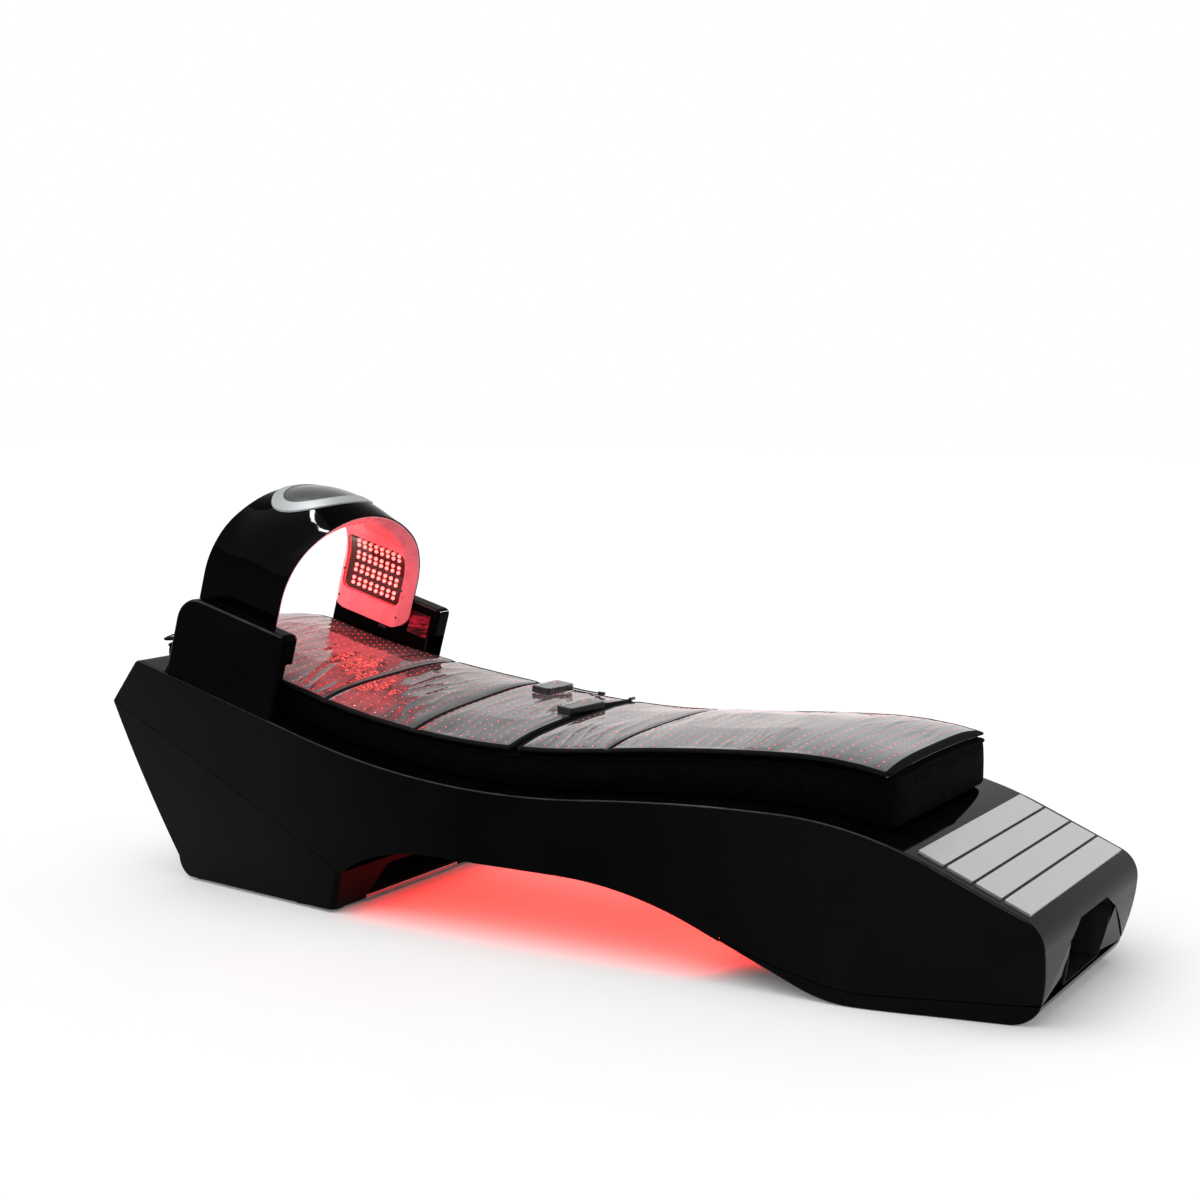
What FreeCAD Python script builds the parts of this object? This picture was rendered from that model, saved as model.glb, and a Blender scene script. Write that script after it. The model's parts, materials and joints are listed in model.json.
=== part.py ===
import FreeCAD, Part
import math
import os
from FreeCAD import Placement, Rotation, Vector

# Red light therapy bed: a long gloss shell with a waved deck, a padded mattress under two light mats,
# a tilting light dome between two wings at the head, and a stepped foot deck.
# Millimetres. +X runs from head to foot, +Y to the lying person's left, +Z up; the floor is Z = 0.

# Overall shell
OVERALL_LENGTH = 2614.0
HALF_WIDTH = 366.0
SHELL_WALL = 6.0
SEAM_GAP = 2.0
FIT_GAP = 0.3
CREASE_RADIUS = 6.0
HEAD_EDGE_RADIUS = 14.0
CREASE_SHARE = 0.7

# Side taper: towards the floor at the head, and towards the nose's lower corners at the foot
HEAD_TAPER = 0.144
HEAD_TAPER_FROM_TIP = 894.0
HEAD_TAPER_SOFTNESS = 160.0
NOSE_TAPER = 0.0011
NOSE_TAPER_FROM_NOSE = 420.0
NOSE_TAPER_HEIGHT = 200.0
NOSE_TAPER_SOFTNESS = 60.0

# Deck wave: its head part measured from the head tip, its crest from the nose
HEAD_SLOPE = 15.6
DIP_FROM_TIP = 1284.0
DIP_HEIGHT = 374.0
DIP_RADIUS = 2290.0
CREST_FROM_NOSE = 610.0
CREST_RISE = 36.0
CREST_FOOT_RADIUS = 950.0
FOOT_SLOPE = 22.9
BEVEL_FROM_TIP = 118.0
BEVEL_ROUND = 24.0
TIP_HEIGHT = 490.0

# Nose
NOSE_ROUND = 70.0
NOSE_FRONT_RADIUS = 437.0
NOSE_SKIRT_RADIUS = 74.0

# Arch under the bed
ARCH_HEIGHT = 195.0
ARCH_HEAD_RADIUS = 485.0
ARCH_HEAD_FROM_TIP = 1054.0
ARCH_END_FROM_TIP = 784.0
RAMP_SLOPE = 21.5
RAMP_TOP_RADIUS = 1000.0
RAMP_TOP_FROM_NOSE = 1173.0
RAMP_FLOOR_RADIUS = 350.0
ARCH_LINER_RISE = 12.0
ARCH_LINER_THICKNESS = 4.0

# Foot skirt seam
SKIRT_LOW_FROM_NOSE = 415.0
SKIRT_LOW_HEIGHT = 33.5
SKIRT_MID_FROM_NOSE = 580.0
SKIRT_MID_HEIGHT = 60.0
SKIRT_END_FROM_NOSE = 745.0
SKIRT_END_DEPTH = 11.0
SKIRT_FLOOR = 8.0
SKIRT_WALL = 8.0

# Head base
HEAD_WALL_FROM_TIP = 751.0
REAR_FOOT_FROM_TIP = 200.0
REAR_KNEE_FROM_TIP = 168.0
REAR_KNEE_HEIGHT = 62.0
REAR_BOW = 12.0
PAD_HEIGHT = 8.0
PAD_LENGTH = 130.0
PAD_WIDTH = 34.0
PAD_INSET = 14.0

# Recess in the head wall, above its light strip
HEAD_RECESS_SILL = 24.0
HEAD_RECESS_TOP = 92.0
HEAD_RECESS_SIDE_MARGIN = 170.0
HEAD_RECESS_HALF_BOTTOM = HALF_WIDTH - HEAD_RECESS_SIDE_MARGIN
HEAD_RECESS_LEAN = 58.0
HEAD_RECESS_HALF_TOP = HEAD_RECESS_HALF_BOTTOM - HEAD_RECESS_LEAN
HEAD_RECESS_DEPTH = 130.0
LINER_WALL = 3.0

# Foot opening and its cheeks
FOOT_OPENING_ABOVE_NOSE = 12.0
FOOT_OPENING_TOP_HALF = 97.0
FOOT_OPENING_SHOULDER_DROP = 32.0
FOOT_OPENING_SHOULDER_HALF = 157.0
FOOT_OPENING_BOTTOM = 38.0
FOOT_OPENING_BOTTOM_HALF = 116.0
FOOT_OPENING_DEPTH = 190.0
CHEEK_SIDE_MARGIN = 66.0
CHEEK_BOTTOM_HALF = HALF_WIDTH - CHEEK_SIDE_MARGIN
CHEEK_SET_BACK = 10.0
CHEEK_POCKET_DEPTH = 60.0
CHEEK_THICKNESS = 5.0

# Foot plates
PLATE_COUNT = 4
PLATE_SIDE_MARGIN = 36.4
PLATE_HALF_WIDTH = HALF_WIDTH - PLATE_SIDE_MARGIN
PLATE_LENGTH = 62.5
PLATE_GAP = 7.0
PLATE_THICKNESS = 6.0
PLATE_FROM_NOSE_EDGE = 38.0
PLATE_CORNER = 3.0

# Wings, in the head frame: U along the head deck, V square to it
WING_REAR_FROM_TIP = 222.0
WING_LENGTH = 363.0
WING_HEIGHT = 227.0
WING_THICKNESS = 58.0
WING_INNER_HALF = HALF_WIDTH - WING_THICKNESS
WING_WALL = 12.0
WING_REAR_ROUND = 70.0
WING_FRONT_ROUND = 16.0
WING_EDGE_ROUND = 10.0
WING_SLOT_HEIGHT = 150.0
WING_PANEL_THICKNESS = 3.0
WING_PANEL_LENGTH = 66.0
WING_PANEL_HEIGHT = 66.0
WING_PANEL_FRONT_MARGIN = 26.0
WING_PANEL_MARGIN = 26.0

# Dome, in the head frame
DOME_REAR = 12.0
DOME_LENGTH = 263.0
DOME_FOOT = 140.0
DOME_SPRING = 280.0
DOME_SIDE_GAP = 7.0
DOME_HALF = WING_INNER_HALF - DOME_SIDE_GAP
DOME_CROWN = 503.0
DOME_BULGE = 28.0
DOME_SHOULDER_RADIUS = 187.0
DOME_SHELL_WALL = 4.0
DOME_LINER_THICKNESS = 29.0
DOME_LIP = 26.0
DOME_FRONT_CORNER = 45.0
DOME_REAR_CORNER = 55.0
DOME_FIT = 0.5

# Dome light panels
WINDOW_FOOT = 200.0
WINDOW_TOP = 362.0
WINDOW_MARGIN = 28.0
WINDOW_CORNER = 22.0
WINDOW_TOP_HALF = 105.0
WINDOW_THICKNESS = 2.5
WINDOW_POCKET = 16.0
BOARD_THICKNESS = 2.0
LIGHT_COLUMNS = 8
LIGHT_ROW_PAIRS = 4
TOP_LIGHT_ROWS = 7
LIGHT_PITCH = 21.0
LIGHT_PAIR_PITCH = 38.0
LIGHT_PAIR_GAP = 15.0
LIGHT_RADIUS = 5.0
LIGHT_HEIGHT = 3.0
LIGHT_LIFT = 0.08
SCREW_RADIUS = 3.2
SCREW_HEIGHT = 1.2

# Ring and panel on the dome's crown
RING_OUTER_HALF = 178.0
RING_INNER_HALF = 143.0
RING_REAR = 17.0
RING_LENGTH = 203.0
RING_REAR_BAND = 24.0
RING_FRONT_BAND = 31.0
RING_PROUD = 4.0
PANEL_PROUD = 2.0

# Dome hinge
PIVOT_U = 52.0
PIVOT_V = 176.0
PIN_RADIUS = 8.0
PIN_RUNNING_FIT = 0.05
BUSH_WALL = 3.0
DISC_RADIUS = 32.0
PIN_INTO_DOME = 20.0
PIN_INTO_WING = 11.0
REST_STOP_LENGTH = 26.0
REST_STOP_HEIGHT = 14.0
REST_STOP_REACH = 30.0
REST_STOP_FROM_FRONT = 60.0

# Mattress
MATTRESS_HEAD_FROM_TIP = 152.0
MATTRESS_FOOT_FROM_NOSE = 355.0
DECK_MARGIN = 66.0
MATTRESS_HALF_WIDTH = HALF_WIDTH - DECK_MARGIN
MATTRESS_HEAD_THICKNESS = 80.0
MATTRESS_FOOT_THICKNESS = 120.0
MATTRESS_HEAD_DROP = 30.0
MATTRESS_HEAD_DROP_LENGTH = 130.0
MATTRESS_CROWN = 10.0
MATTRESS_DRAW_IN = 6.0
MATTRESS_CORNER = 26.0
MATTRESS_SECTIONS = 26
SOFT_GAP = 1.5

# Lift of the pads' left side where they bridge the dip
BRIDGE_LIFT = 40.0
BRIDGE_FROM_TIP = 977.0
BRIDGE_HEAD_RUN = 640.0
BRIDGE_FOOT_RUN = 800.0

# Light mats
MAT_OVERHANG = 4.0
MAT_HALF_WIDTH = MATTRESS_HALF_WIDTH + MAT_OVERHANG
MAT_EDGE = 9.0
MAT_PADDING = 10.0
MAT_FULLNESS = 3.5
MATTRESS_FULLNESS = 2.0
CROWN_POINTS = 4
MAT_GAP = 1.5
MAT_CHANNEL_DEPTH = 3.0
MAT_CHANNEL_HALF = 12.0
MAT_HEAD_OVERHANG = 4.0
MAT_FOOT_INSET = 9.0
UPPER_MAT_LENGTH = 1128.0
MAT_JOINT = 6.0
UPPER_MAT_SEAMS = (550.0, 832.0)
LOWER_MAT_SEAMS = (257.0,)
MAT_SECTION_STEP = 75.0

# Handsets: centre from the upper mat's head end, centre in from the mats' left edge, turn about the vertical
HANDSET_PLACES = ((930.0, 106.0, -1.0), (1105.0, 248.0, -12.6))
HANDSET_LENGTH = 126.0
HANDSET_WIDTH = 58.0
HANDSET_HEIGHT = 18.0
HANDSET_CORNER = 10.0
HANDSET_EDGE = 2.5
HANDSET_WALL = 2.0
HANDSET_SPLIT = 9.0
HANDSET_LIFT = 0.4
KEY_COUNT = 4
KEY_RADIUS = 4.0
KEY_PITCH = 13.0
KEY_FROM_END = 18.0
KEY_FROM_SIDE = 13.0
KEY_TRAVEL = 1.0
KEY_PROUD = KEY_TRAVEL + 0.6
KEY_FIT = 0.3
KEY_STEM = 6.0
KEY_FLANGE = 1.2
DISPLAY_LENGTH = 26.0
DISPLAY_WIDTH = 14.0
DISPLAY_FROM_END = 38.0
DISPLAY_THICKNESS = 1.2

# Handset leads
LEAD_RADIUS = 2.0
RELIEF_LENGTH = 14.0
RELIEF_ROOT_RADIUS = 4.0
RELIEF_TIP_RADIUS = 2.6
RELIEF_HEIGHT = 6.0
GLAND_LENGTH = 22.0
GLAND_RADIUS = 4.5
LEAD_BEND_SHARE = 0.45

# Steel frame inside the shell
RAIL_SIDE_MARGIN = 146.0
RAIL_HALF_SPREAD = HALF_WIDTH - RAIL_SIDE_MARGIN
RAIL_WIDTH = 40.0
RAIL_HEIGHT = 60.0
RAIL_BOTTOM = 240.0
RAIL_HEAD_FROM_TIP = 384.0
RAIL_FOOT_FROM_NOSE = 345.0
TUBE_WALL = 3.0
POST_SIDE = 40.0
CROSS_FROM_TIP = (454.0, 734.0, 1114.0)
CROSS_FROM_NOSE = (1150.0, 800.0, 370.0)
HEAD_LEGS_FROM_TIP = (454.0, 684.0)
FOOT_LEGS_FROM_NOSE = (370.0,)

# Electrical parts
SUPPLY_SIZE = (215.0, 115.0, 50.0)
SUPPLY_FROM_TIP = 479.0
CONTROL_SIZE = (150.0, 110.0, 45.0)
CONTROL_FROM_TIP = 290.0
INLET_HEIGHT = 190.0
INLET_PLATE_WIDTH = 96.0
INLET_PLATE_HEIGHT = 54.0
INLET_PLATE_THICKNESS = 3.0
INLET_PLATE_STAND_OFF = 0.0
INLET_WIDTH = 27.0
INLET_OPENING_HEIGHT = 20.0
INLET_DEPTH = 18.0
INLET_WALL = 2.5
INLET_ACROSS = 20.0
INLET_PIN_RADIUS = 2.0
INLET_PIN_SPREAD = 7.0
INLET_PIN_LENGTH = 10.0
ROCKER_WIDTH = 13.0
ROCKER_HEIGHT = 24.0
ROCKER_DEPTH = 10.0
ROCKER_ACROSS = 24.0
ROCKER_FIT = 0.6
ROCKER_PROUD = 3.0
ROCKER_PIVOT_DEPTH = 2.0
ROCKER_PIVOT_RADIUS = 2.0

# Under-bed light
STRIP_WIDTH = 14.0
STRIP_HEIGHT = 8.0
STRIP_LENS = 2.0
STRIP_INSET = 22.0
STRIP_END_MARGIN = 20.0
SILL_STRIP_HALF = 205.0


def from_nose(distance):
    """X of a place given as a distance back from the nose."""
    return OVERALL_LENGTH / 2 - distance


def from_tip(distance):
    """X of a place given as a distance forward from the head tip."""
    return distance - OVERALL_LENGTH / 2


def point(x, z):
    return Vector(x, 0, z)


def polar(centre, radius, degrees):
    """Point on a circle in the side view, the angle counted from +X towards +Z."""
    turn = math.radians(degrees)
    return centre + Vector(radius * math.cos(turn), 0, radius * math.sin(turn))


def arc(centre, radius, first, last):
    """Arc in the side view between two angles."""
    middle = (first + last) / 2
    return Part.Arc(polar(centre, radius, first), polar(centre, radius, middle),
                    polar(centre, radius, last)).toShape()


def line(first, last):
    return Part.LineSegment(first, last).toShape()


def chain(points):
    return [line(first, last) for first, last in zip(points, points[1:])]


def prism(edges, half_width):
    """Solid across the bed from a closed outline in the side view."""
    face = Part.Face(Part.Wire(edges))
    face.translate(Vector(0, -half_width, 0))
    return face.extrude(Vector(0, 2 * half_width, 0))


def polygon_prism(points, direction):
    """Solid from a closed polygon, pushed along a direction."""
    return Part.Face(Part.Wire(chain(list(points) + [points[0]]))).extrude(direction)


def box(low, high):
    size = Vector(*high) - Vector(*low)
    return Part.makeBox(size.x, size.y, size.z, Vector(*low))


def mirrored(shape):
    return shape.mirror(Vector(0, 0, 0), Vector(0, 1, 0))


def save(name, *shapes):
    """Write one node: a solid, or a group of separate solids."""
    shape = shapes[0] if len(shapes) == 1 else Part.makeCompound(list(shapes))
    if not shape.isValid() or shape.Volume <= 0:
        raise ValueError(name + " is not a sound solid")
    shape.exportStep("parts/" + name + ".step")


# Deck wave geometry
HEAD_TIP = point(-OVERALL_LENGTH / 2, TIP_HEIGHT)
NOSE_X = OVERALL_LENGTH / 2
DIP_CENTRE = point(from_tip(DIP_FROM_TIP), DIP_HEIGHT + DIP_RADIUS)
WAVE_RUN = OVERALL_LENGTH - DIP_FROM_TIP - CREST_FROM_NOSE
WAVE_FALL = DIP_RADIUS - CREST_RISE
CREST_RADIUS = (WAVE_RUN ** 2 + WAVE_FALL ** 2 - DIP_RADIUS ** 2) / (2 * (DIP_RADIUS - WAVE_FALL))
CREST_TOP = point(from_nose(CREST_FROM_NOSE), DIP_HEIGHT + CREST_RISE)
CREST_CENTRE = CREST_TOP - Vector(0, 0, CREST_RADIUS)
CREST_FOOT_CENTRE = CREST_TOP - Vector(0, 0, CREST_FOOT_RADIUS)
INFLECTION = math.degrees(math.atan2(CREST_CENTRE.z - DIP_CENTRE.z, CREST_CENTRE.x - DIP_CENTRE.x))
HEAD_DIRECTION = Vector(-math.cos(math.radians(HEAD_SLOPE)), 0, math.sin(math.radians(HEAD_SLOPE)))
FOOT_DIRECTION = Vector(math.cos(math.radians(FOOT_SLOPE)), 0, -math.sin(math.radians(FOOT_SLOPE)))
FOOT_NORMAL = Vector(math.sin(math.radians(FOOT_SLOPE)), 0, math.cos(math.radians(FOOT_SLOPE)))
FOOT_START = polar(CREST_FOOT_CENTRE, CREST_FOOT_RADIUS, 90 - FOOT_SLOPE)


def head_line(x, depth):
    """Point of the head deck line, or of its parallel below it, at an X."""
    start = polar(DIP_CENTRE, DIP_RADIUS + depth, -90 - HEAD_SLOPE)
    return start + HEAD_DIRECTION * ((x - start.x) / HEAD_DIRECTION.x)


def deck_height(x):
    """Height of the deck at an X between the bevel and the nose round."""
    if x < polar(DIP_CENTRE, DIP_RADIUS, -90 - HEAD_SLOPE).x:
        return head_line(x, 0).z
    if x < polar(DIP_CENTRE, DIP_RADIUS, INFLECTION).x:
        return DIP_CENTRE.z - math.sqrt(DIP_RADIUS ** 2 - (x - DIP_CENTRE.x) ** 2)
    if x < CREST_CENTRE.x:
        return CREST_CENTRE.z + math.sqrt(CREST_RADIUS ** 2 - (x - CREST_CENTRE.x) ** 2)
    if x < FOOT_START.x:
        return CREST_FOOT_CENTRE.z + math.sqrt(CREST_FOOT_RADIUS ** 2 - (x - CREST_FOOT_CENTRE.x) ** 2)
    return FOOT_START.z + FOOT_DIRECTION.z / FOOT_DIRECTION.x * (x - FOOT_START.x)


# Nose geometry: a round from the foot deck to the upright, then a leaning front, then the skirt's round
NOSE_CENTRE_X = NOSE_X - NOSE_ROUND
NOSE_CENTRE = point(NOSE_CENTRE_X, FOOT_START.z
                    - (NOSE_ROUND + (NOSE_CENTRE_X - FOOT_START.x) * FOOT_NORMAL.x) / FOOT_NORMAL.z)
FRONT_CENTRE = point(NOSE_X - NOSE_FRONT_RADIUS, NOSE_CENTRE.z)
FOOT_OPENING_TOP = NOSE_CENTRE.z + FOOT_OPENING_ABOVE_NOSE
FOOT_OPENING_SHOULDER = FOOT_OPENING_TOP - FOOT_OPENING_SHOULDER_DROP
FRONT_TURN = math.degrees(math.asin((FRONT_CENTRE.z - NOSE_SKIRT_RADIUS)
                                    / (NOSE_FRONT_RADIUS - NOSE_SKIRT_RADIUS)))
SKIRT_CENTRE = polar(FRONT_CENTRE, NOSE_FRONT_RADIUS - NOSE_SKIRT_RADIUS, -FRONT_TURN)
SKIRT_SEAM_FRONT = polar(FRONT_CENTRE, NOSE_FRONT_RADIUS, -FRONT_TURN)

# Arch geometry
ARCH_HEAD_CENTRE = point(from_tip(ARCH_HEAD_FROM_TIP), ARCH_HEIGHT - ARCH_HEAD_RADIUS)
ARCH_END_TURN = math.degrees(math.acos((from_tip(ARCH_END_FROM_TIP) - ARCH_HEAD_CENTRE.x)
                                       / ARCH_HEAD_RADIUS))
RAMP_CENTRE = point(from_nose(RAMP_TOP_FROM_NOSE), ARCH_HEIGHT - RAMP_TOP_RADIUS)
RAMP_SINE = math.sin(math.radians(RAMP_SLOPE))
RAMP_COSINE = math.cos(math.radians(RAMP_SLOPE))
RAMP_START = polar(RAMP_CENTRE, RAMP_TOP_RADIUS, 90 - RAMP_SLOPE)
RAMP_FLOOR_CENTRE = point(RAMP_START.x + (RAMP_FLOOR_RADIUS - (RAMP_FLOOR_RADIUS - RAMP_START.z)
                                          * RAMP_COSINE) / RAMP_SINE, RAMP_FLOOR_RADIUS)
RAMP_END = polar(RAMP_FLOOR_CENTRE, RAMP_FLOOR_RADIUS, -90 - RAMP_SLOPE)
ARCH_END = polar(ARCH_HEAD_CENTRE, ARCH_HEAD_RADIUS, ARCH_END_TURN)


def ramp_height(x):
    return RAMP_START.z - (x - RAMP_START.x) * RAMP_SINE / RAMP_COSINE


SKIRT_LOW = point(from_nose(SKIRT_LOW_FROM_NOSE), SKIRT_LOW_HEIGHT)
SKIRT_MID = point(from_nose(SKIRT_MID_FROM_NOSE), SKIRT_MID_HEIGHT)
SKIRT_END_X = from_nose(SKIRT_END_FROM_NOSE)
SKIRT_END = point(SKIRT_END_X, ramp_height(SKIRT_END_X) + SKIRT_END_DEPTH)


# Side surface
def ease(value, softness):
    """Zero well below nought, the value itself well above it, smooth between."""
    return (value + math.sqrt(value ** 2 + softness ** 2)) / 2


def side_half_width(x, z):
    """Half width of the shell at a place of the side view."""
    head_run = ease(from_tip(HEAD_TAPER_FROM_TIP) - x, HEAD_TAPER_SOFTNESS)
    head_inset = HEAD_TAPER * head_run * (1 - z / deck_height(x))
    nose_run = ease(x - from_nose(NOSE_TAPER_FROM_NOSE), NOSE_TAPER_SOFTNESS)
    nose_inset = NOSE_TAPER * nose_run * ease(NOSE_TAPER_HEIGHT - z, NOSE_TAPER_SOFTNESS)
    return HALF_WIDTH - head_inset - nose_inset


SIDE_COLUMNS = 25
SIDE_ROWS = 9
SIDE_OVERRUN = 60.0


def side_cutter():
    """Solid outside the left side surface, for cutting blanks to the shell's plan."""
    low_x = -OVERALL_LENGTH / 2 - SIDE_OVERRUN
    low_z = -SIDE_OVERRUN
    step_x = (OVERALL_LENGTH + 2 * SIDE_OVERRUN) / (SIDE_COLUMNS - 1)
    step_z = (head_line(from_tip(BEVEL_FROM_TIP), 0).z + 2 * SIDE_OVERRUN) / (SIDE_ROWS - 1)
    grid = []
    for column in range(SIDE_COLUMNS):
        x = low_x + column * step_x
        heights = [low_z + row * step_z for row in range(SIDE_ROWS)]
        grid.append([Vector(x, side_half_width(x, z), z) for z in heights])
    surface = Part.BSplineSurface()
    surface.interpolate(grid)
    return surface.toShape().extrude(Vector(0, 2 * HALF_WIDTH, 0))


SIDE_CUTTER = side_cutter()


def within_sides(shape, inset):
    """The part of a shape inside the shell's two side surfaces, drawn in by an inset."""
    cutter = SIDE_CUTTER.copy()
    cutter.translate(Vector(0, -inset, 0))
    return shape.cut(cutter).cut(mirrored(cutter))


BLANK_HALF = HALF_WIDTH + SIDE_OVERRUN


def round_side_edges(shape, radius, wanted):
    """Round the edges along both sides whose middle is wanted."""
    edges = []
    for edge in shape.Edges:
        middle = edge.valueAt((edge.FirstParameter + edge.LastParameter) / 2)
        along_side = edge.BoundBox.YLength < HALF_WIDTH / 2 and abs(middle.y) > HALF_WIDTH / 2
        if along_side and wanted(middle):
            edges.append(edge)
    return shape.makeFillet(radius, edges).Solids[0]


# Shell outlines
def deck_edges(depth):
    """The deck wave from the head line to the foot line, lowered square to itself by a depth."""
    return [arc(DIP_CENTRE, DIP_RADIUS + depth, -90 - HEAD_SLOPE, INFLECTION),
            arc(CREST_CENTRE, CREST_RADIUS - depth, INFLECTION + 180, 90),
            arc(CREST_FOOT_CENTRE, CREST_FOOT_RADIUS - depth, 90, 90 - FOOT_SLOPE),
            line(polar(CREST_FOOT_CENTRE, CREST_FOOT_RADIUS - depth, 90 - FOOT_SLOPE),
                 polar(NOSE_CENTRE, NOSE_ROUND - depth, 90 - FOOT_SLOPE)),
            arc(NOSE_CENTRE, NOSE_ROUND - depth, 90 - FOOT_SLOPE, 0),
            arc(FRONT_CENTRE, NOSE_FRONT_RADIUS - depth, 0, -FRONT_TURN)]


def upper_outline():
    """Closed side outline of the upper shell."""
    bevel = head_line(from_tip(BEVEL_FROM_TIP), 0)
    head_end = polar(DIP_CENTRE, DIP_RADIUS, -90 - HEAD_SLOPE)
    to_tip = (HEAD_TIP - bevel).normalize()
    to_deck = (head_end - bevel).normalize()
    opening = to_tip.getAngle(to_deck)
    bevel_run = BEVEL_ROUND / math.tan(opening / 2)
    bisector = (to_tip + to_deck).normalize()
    round_middle = bevel + bisector * (BEVEL_ROUND / math.sin(opening / 2) - BEVEL_ROUND)
    edges = [line(HEAD_TIP, bevel + to_tip * bevel_run),
             Part.Arc(bevel + to_tip * bevel_run, round_middle, bevel + to_deck * bevel_run).toShape(),
             line(bevel + to_deck * bevel_run, head_end)]
    edges += deck_edges(0)
    edges += [line(SKIRT_SEAM_FRONT, SKIRT_LOW),
              Part.Arc(SKIRT_LOW, SKIRT_MID, SKIRT_END).toShape(),
              line(SKIRT_END, point(SKIRT_END_X, ramp_height(SKIRT_END_X))),
              line(point(SKIRT_END_X, ramp_height(SKIRT_END_X)), RAMP_START),
              arc(RAMP_CENTRE, RAMP_TOP_RADIUS, 90 - RAMP_SLOPE, 90),
              line(polar(RAMP_CENTRE, RAMP_TOP_RADIUS, 90), polar(ARCH_HEAD_CENTRE, ARCH_HEAD_RADIUS, 90)),
              arc(ARCH_HEAD_CENTRE, ARCH_HEAD_RADIUS, 90, ARCH_END_TURN),
              line(ARCH_END, HEAD_TIP)]
    return edges


def upper_void(depth):
    """Everything under the upper shell's skin, down through the floor."""
    bevel = head_line(from_tip(BEVEL_FROM_TIP), depth)
    slope = (HEAD_TIP - head_line(from_tip(BEVEL_FROM_TIP), 0)).normalize()
    rear_low = bevel + slope * (bevel.z / -slope.z)
    front_low = point(polar(FRONT_CENTRE, NOSE_FRONT_RADIUS - depth, -FRONT_TURN).x, -SIDE_OVERRUN)
    rear_floor = point(rear_low.x, -SIDE_OVERRUN)
    head_end = polar(DIP_CENTRE, DIP_RADIUS + depth, -90 - HEAD_SLOPE)
    deck = deck_edges(depth)
    front_end = polar(FRONT_CENTRE, NOSE_FRONT_RADIUS - depth, -FRONT_TURN)
    bevel_in = bevel + Vector(depth, 0, 0)
    rear_in = rear_low + Vector(depth, 0, 0)
    edges = [line(rear_floor + Vector(depth, 0, 0), rear_in), line(rear_in, bevel_in)]
    edges += [line(bevel_in, head_end)]
    edges += deck
    edges += [line(front_end, front_low), line(front_low, rear_floor + Vector(depth, 0, 0))]
    return within_sides(prism(edges, BLANK_HALF), depth)


def opening_half(z):
    """Half width of the foot opening at a height below its shoulders."""
    share = (z - FOOT_OPENING_BOTTOM) / (FOOT_OPENING_SHOULDER - FOOT_OPENING_BOTTOM)
    return FOOT_OPENING_BOTTOM_HALF + share * (FOOT_OPENING_SHOULDER_HALF - FOOT_OPENING_BOTTOM_HALF)


def foot_opening(extra, front_x, depth, bottom):
    """Prism through the nose with the outline of the foot opening above a bottom, grown by an extra."""
    half_outline = ((FOOT_OPENING_TOP_HALF, FOOT_OPENING_TOP + extra),
                    (FOOT_OPENING_SHOULDER_HALF + extra, FOOT_OPENING_SHOULDER + extra / 2),
                    (opening_half(bottom) + extra, bottom - extra))
    right = [Vector(front_x, -y, z) for y, z in half_outline]
    left = [Vector(front_x, y, z) for y, z in reversed(half_outline)]
    return polygon_prism(right + left, Vector(-depth, 0, 0))


def front_x(z):
    """X of the nose's front surface at a height below the nose round."""
    return FRONT_CENTRE.x + math.sqrt(NOSE_FRONT_RADIUS ** 2 - (z - FRONT_CENTRE.z) ** 2)


CHEEK_BOTTOM = SKIRT_SEAM_FRONT.z
CHEEK_TOP = (FOOT_OPENING_SHOULDER_HALF + LINER_WALL + 2 * SEAM_GAP, FOOT_OPENING_SHOULDER)
CHEEK_INNER = (opening_half(CHEEK_BOTTOM) + LINER_WALL + SEAM_GAP, CHEEK_BOTTOM)
CHEEK_OUTER = (CHEEK_BOTTOM_HALF, CHEEK_BOTTOM)


def cheek_pocket():
    """Window in the nose's front that the left cheek closes, open to the skirt below."""
    corners = [Vector(NOSE_X + SIDE_OVERRUN, y, z) for y, z in
               ((FOOT_OPENING_SHOULDER_HALF - SEAM_GAP, FOOT_OPENING_SHOULDER),
                (FOOT_OPENING_BOTTOM_HALF - SEAM_GAP, FOOT_OPENING_BOTTOM),
                (CHEEK_OUTER[0], FOOT_OPENING_BOTTOM), CHEEK_OUTER,
                (CHEEK_TOP[0] - SEAM_GAP, CHEEK_TOP[1]))]
    return polygon_prism(corners, Vector(-SIDE_OVERRUN - CHEEK_POCKET_DEPTH, 0, 0))


def cheek():
    """Triangular panel beside the foot opening, flush at its top and outer corners, set back at its inner."""
    top = Vector(front_x(CHEEK_TOP[1]), CHEEK_TOP[0], CHEEK_TOP[1] - 3 * SEAM_GAP)
    outer = Vector(front_x(CHEEK_OUTER[1]), CHEEK_OUTER[0] - 4 * SEAM_GAP, CHEEK_OUTER[1] + SEAM_GAP / 2)
    inner = Vector(front_x(CHEEK_INNER[1]) - CHEEK_SET_BACK, CHEEK_INNER[0], CHEEK_INNER[1] + SEAM_GAP / 2)
    return polygon_prism([top, outer, inner], Vector(-CHEEK_THICKNESS, 0, 0))


def on_crease(place):
    """Whether a place of the sides is on the deck's edge or the nose's upright edge."""
    return place.x > NOSE_CENTRE.x or place.z > deck_height(place.x) * CREASE_SHARE


def make_upper_shell():
    outer = within_sides(prism(upper_outline(), BLANK_HALF), 0)
    outer = round_side_edges(outer, CREASE_RADIUS, on_crease)
    shell = outer.cut(upper_void(SHELL_WALL))
    shell = shell.cut(foot_opening(0, NOSE_X + SIDE_OVERRUN, SIDE_OVERRUN + NOSE_ROUND, FOOT_OPENING_BOTTOM))
    pocket = cheek_pocket()
    return shell.cut(pocket).cut(mirrored(pocket))


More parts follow.
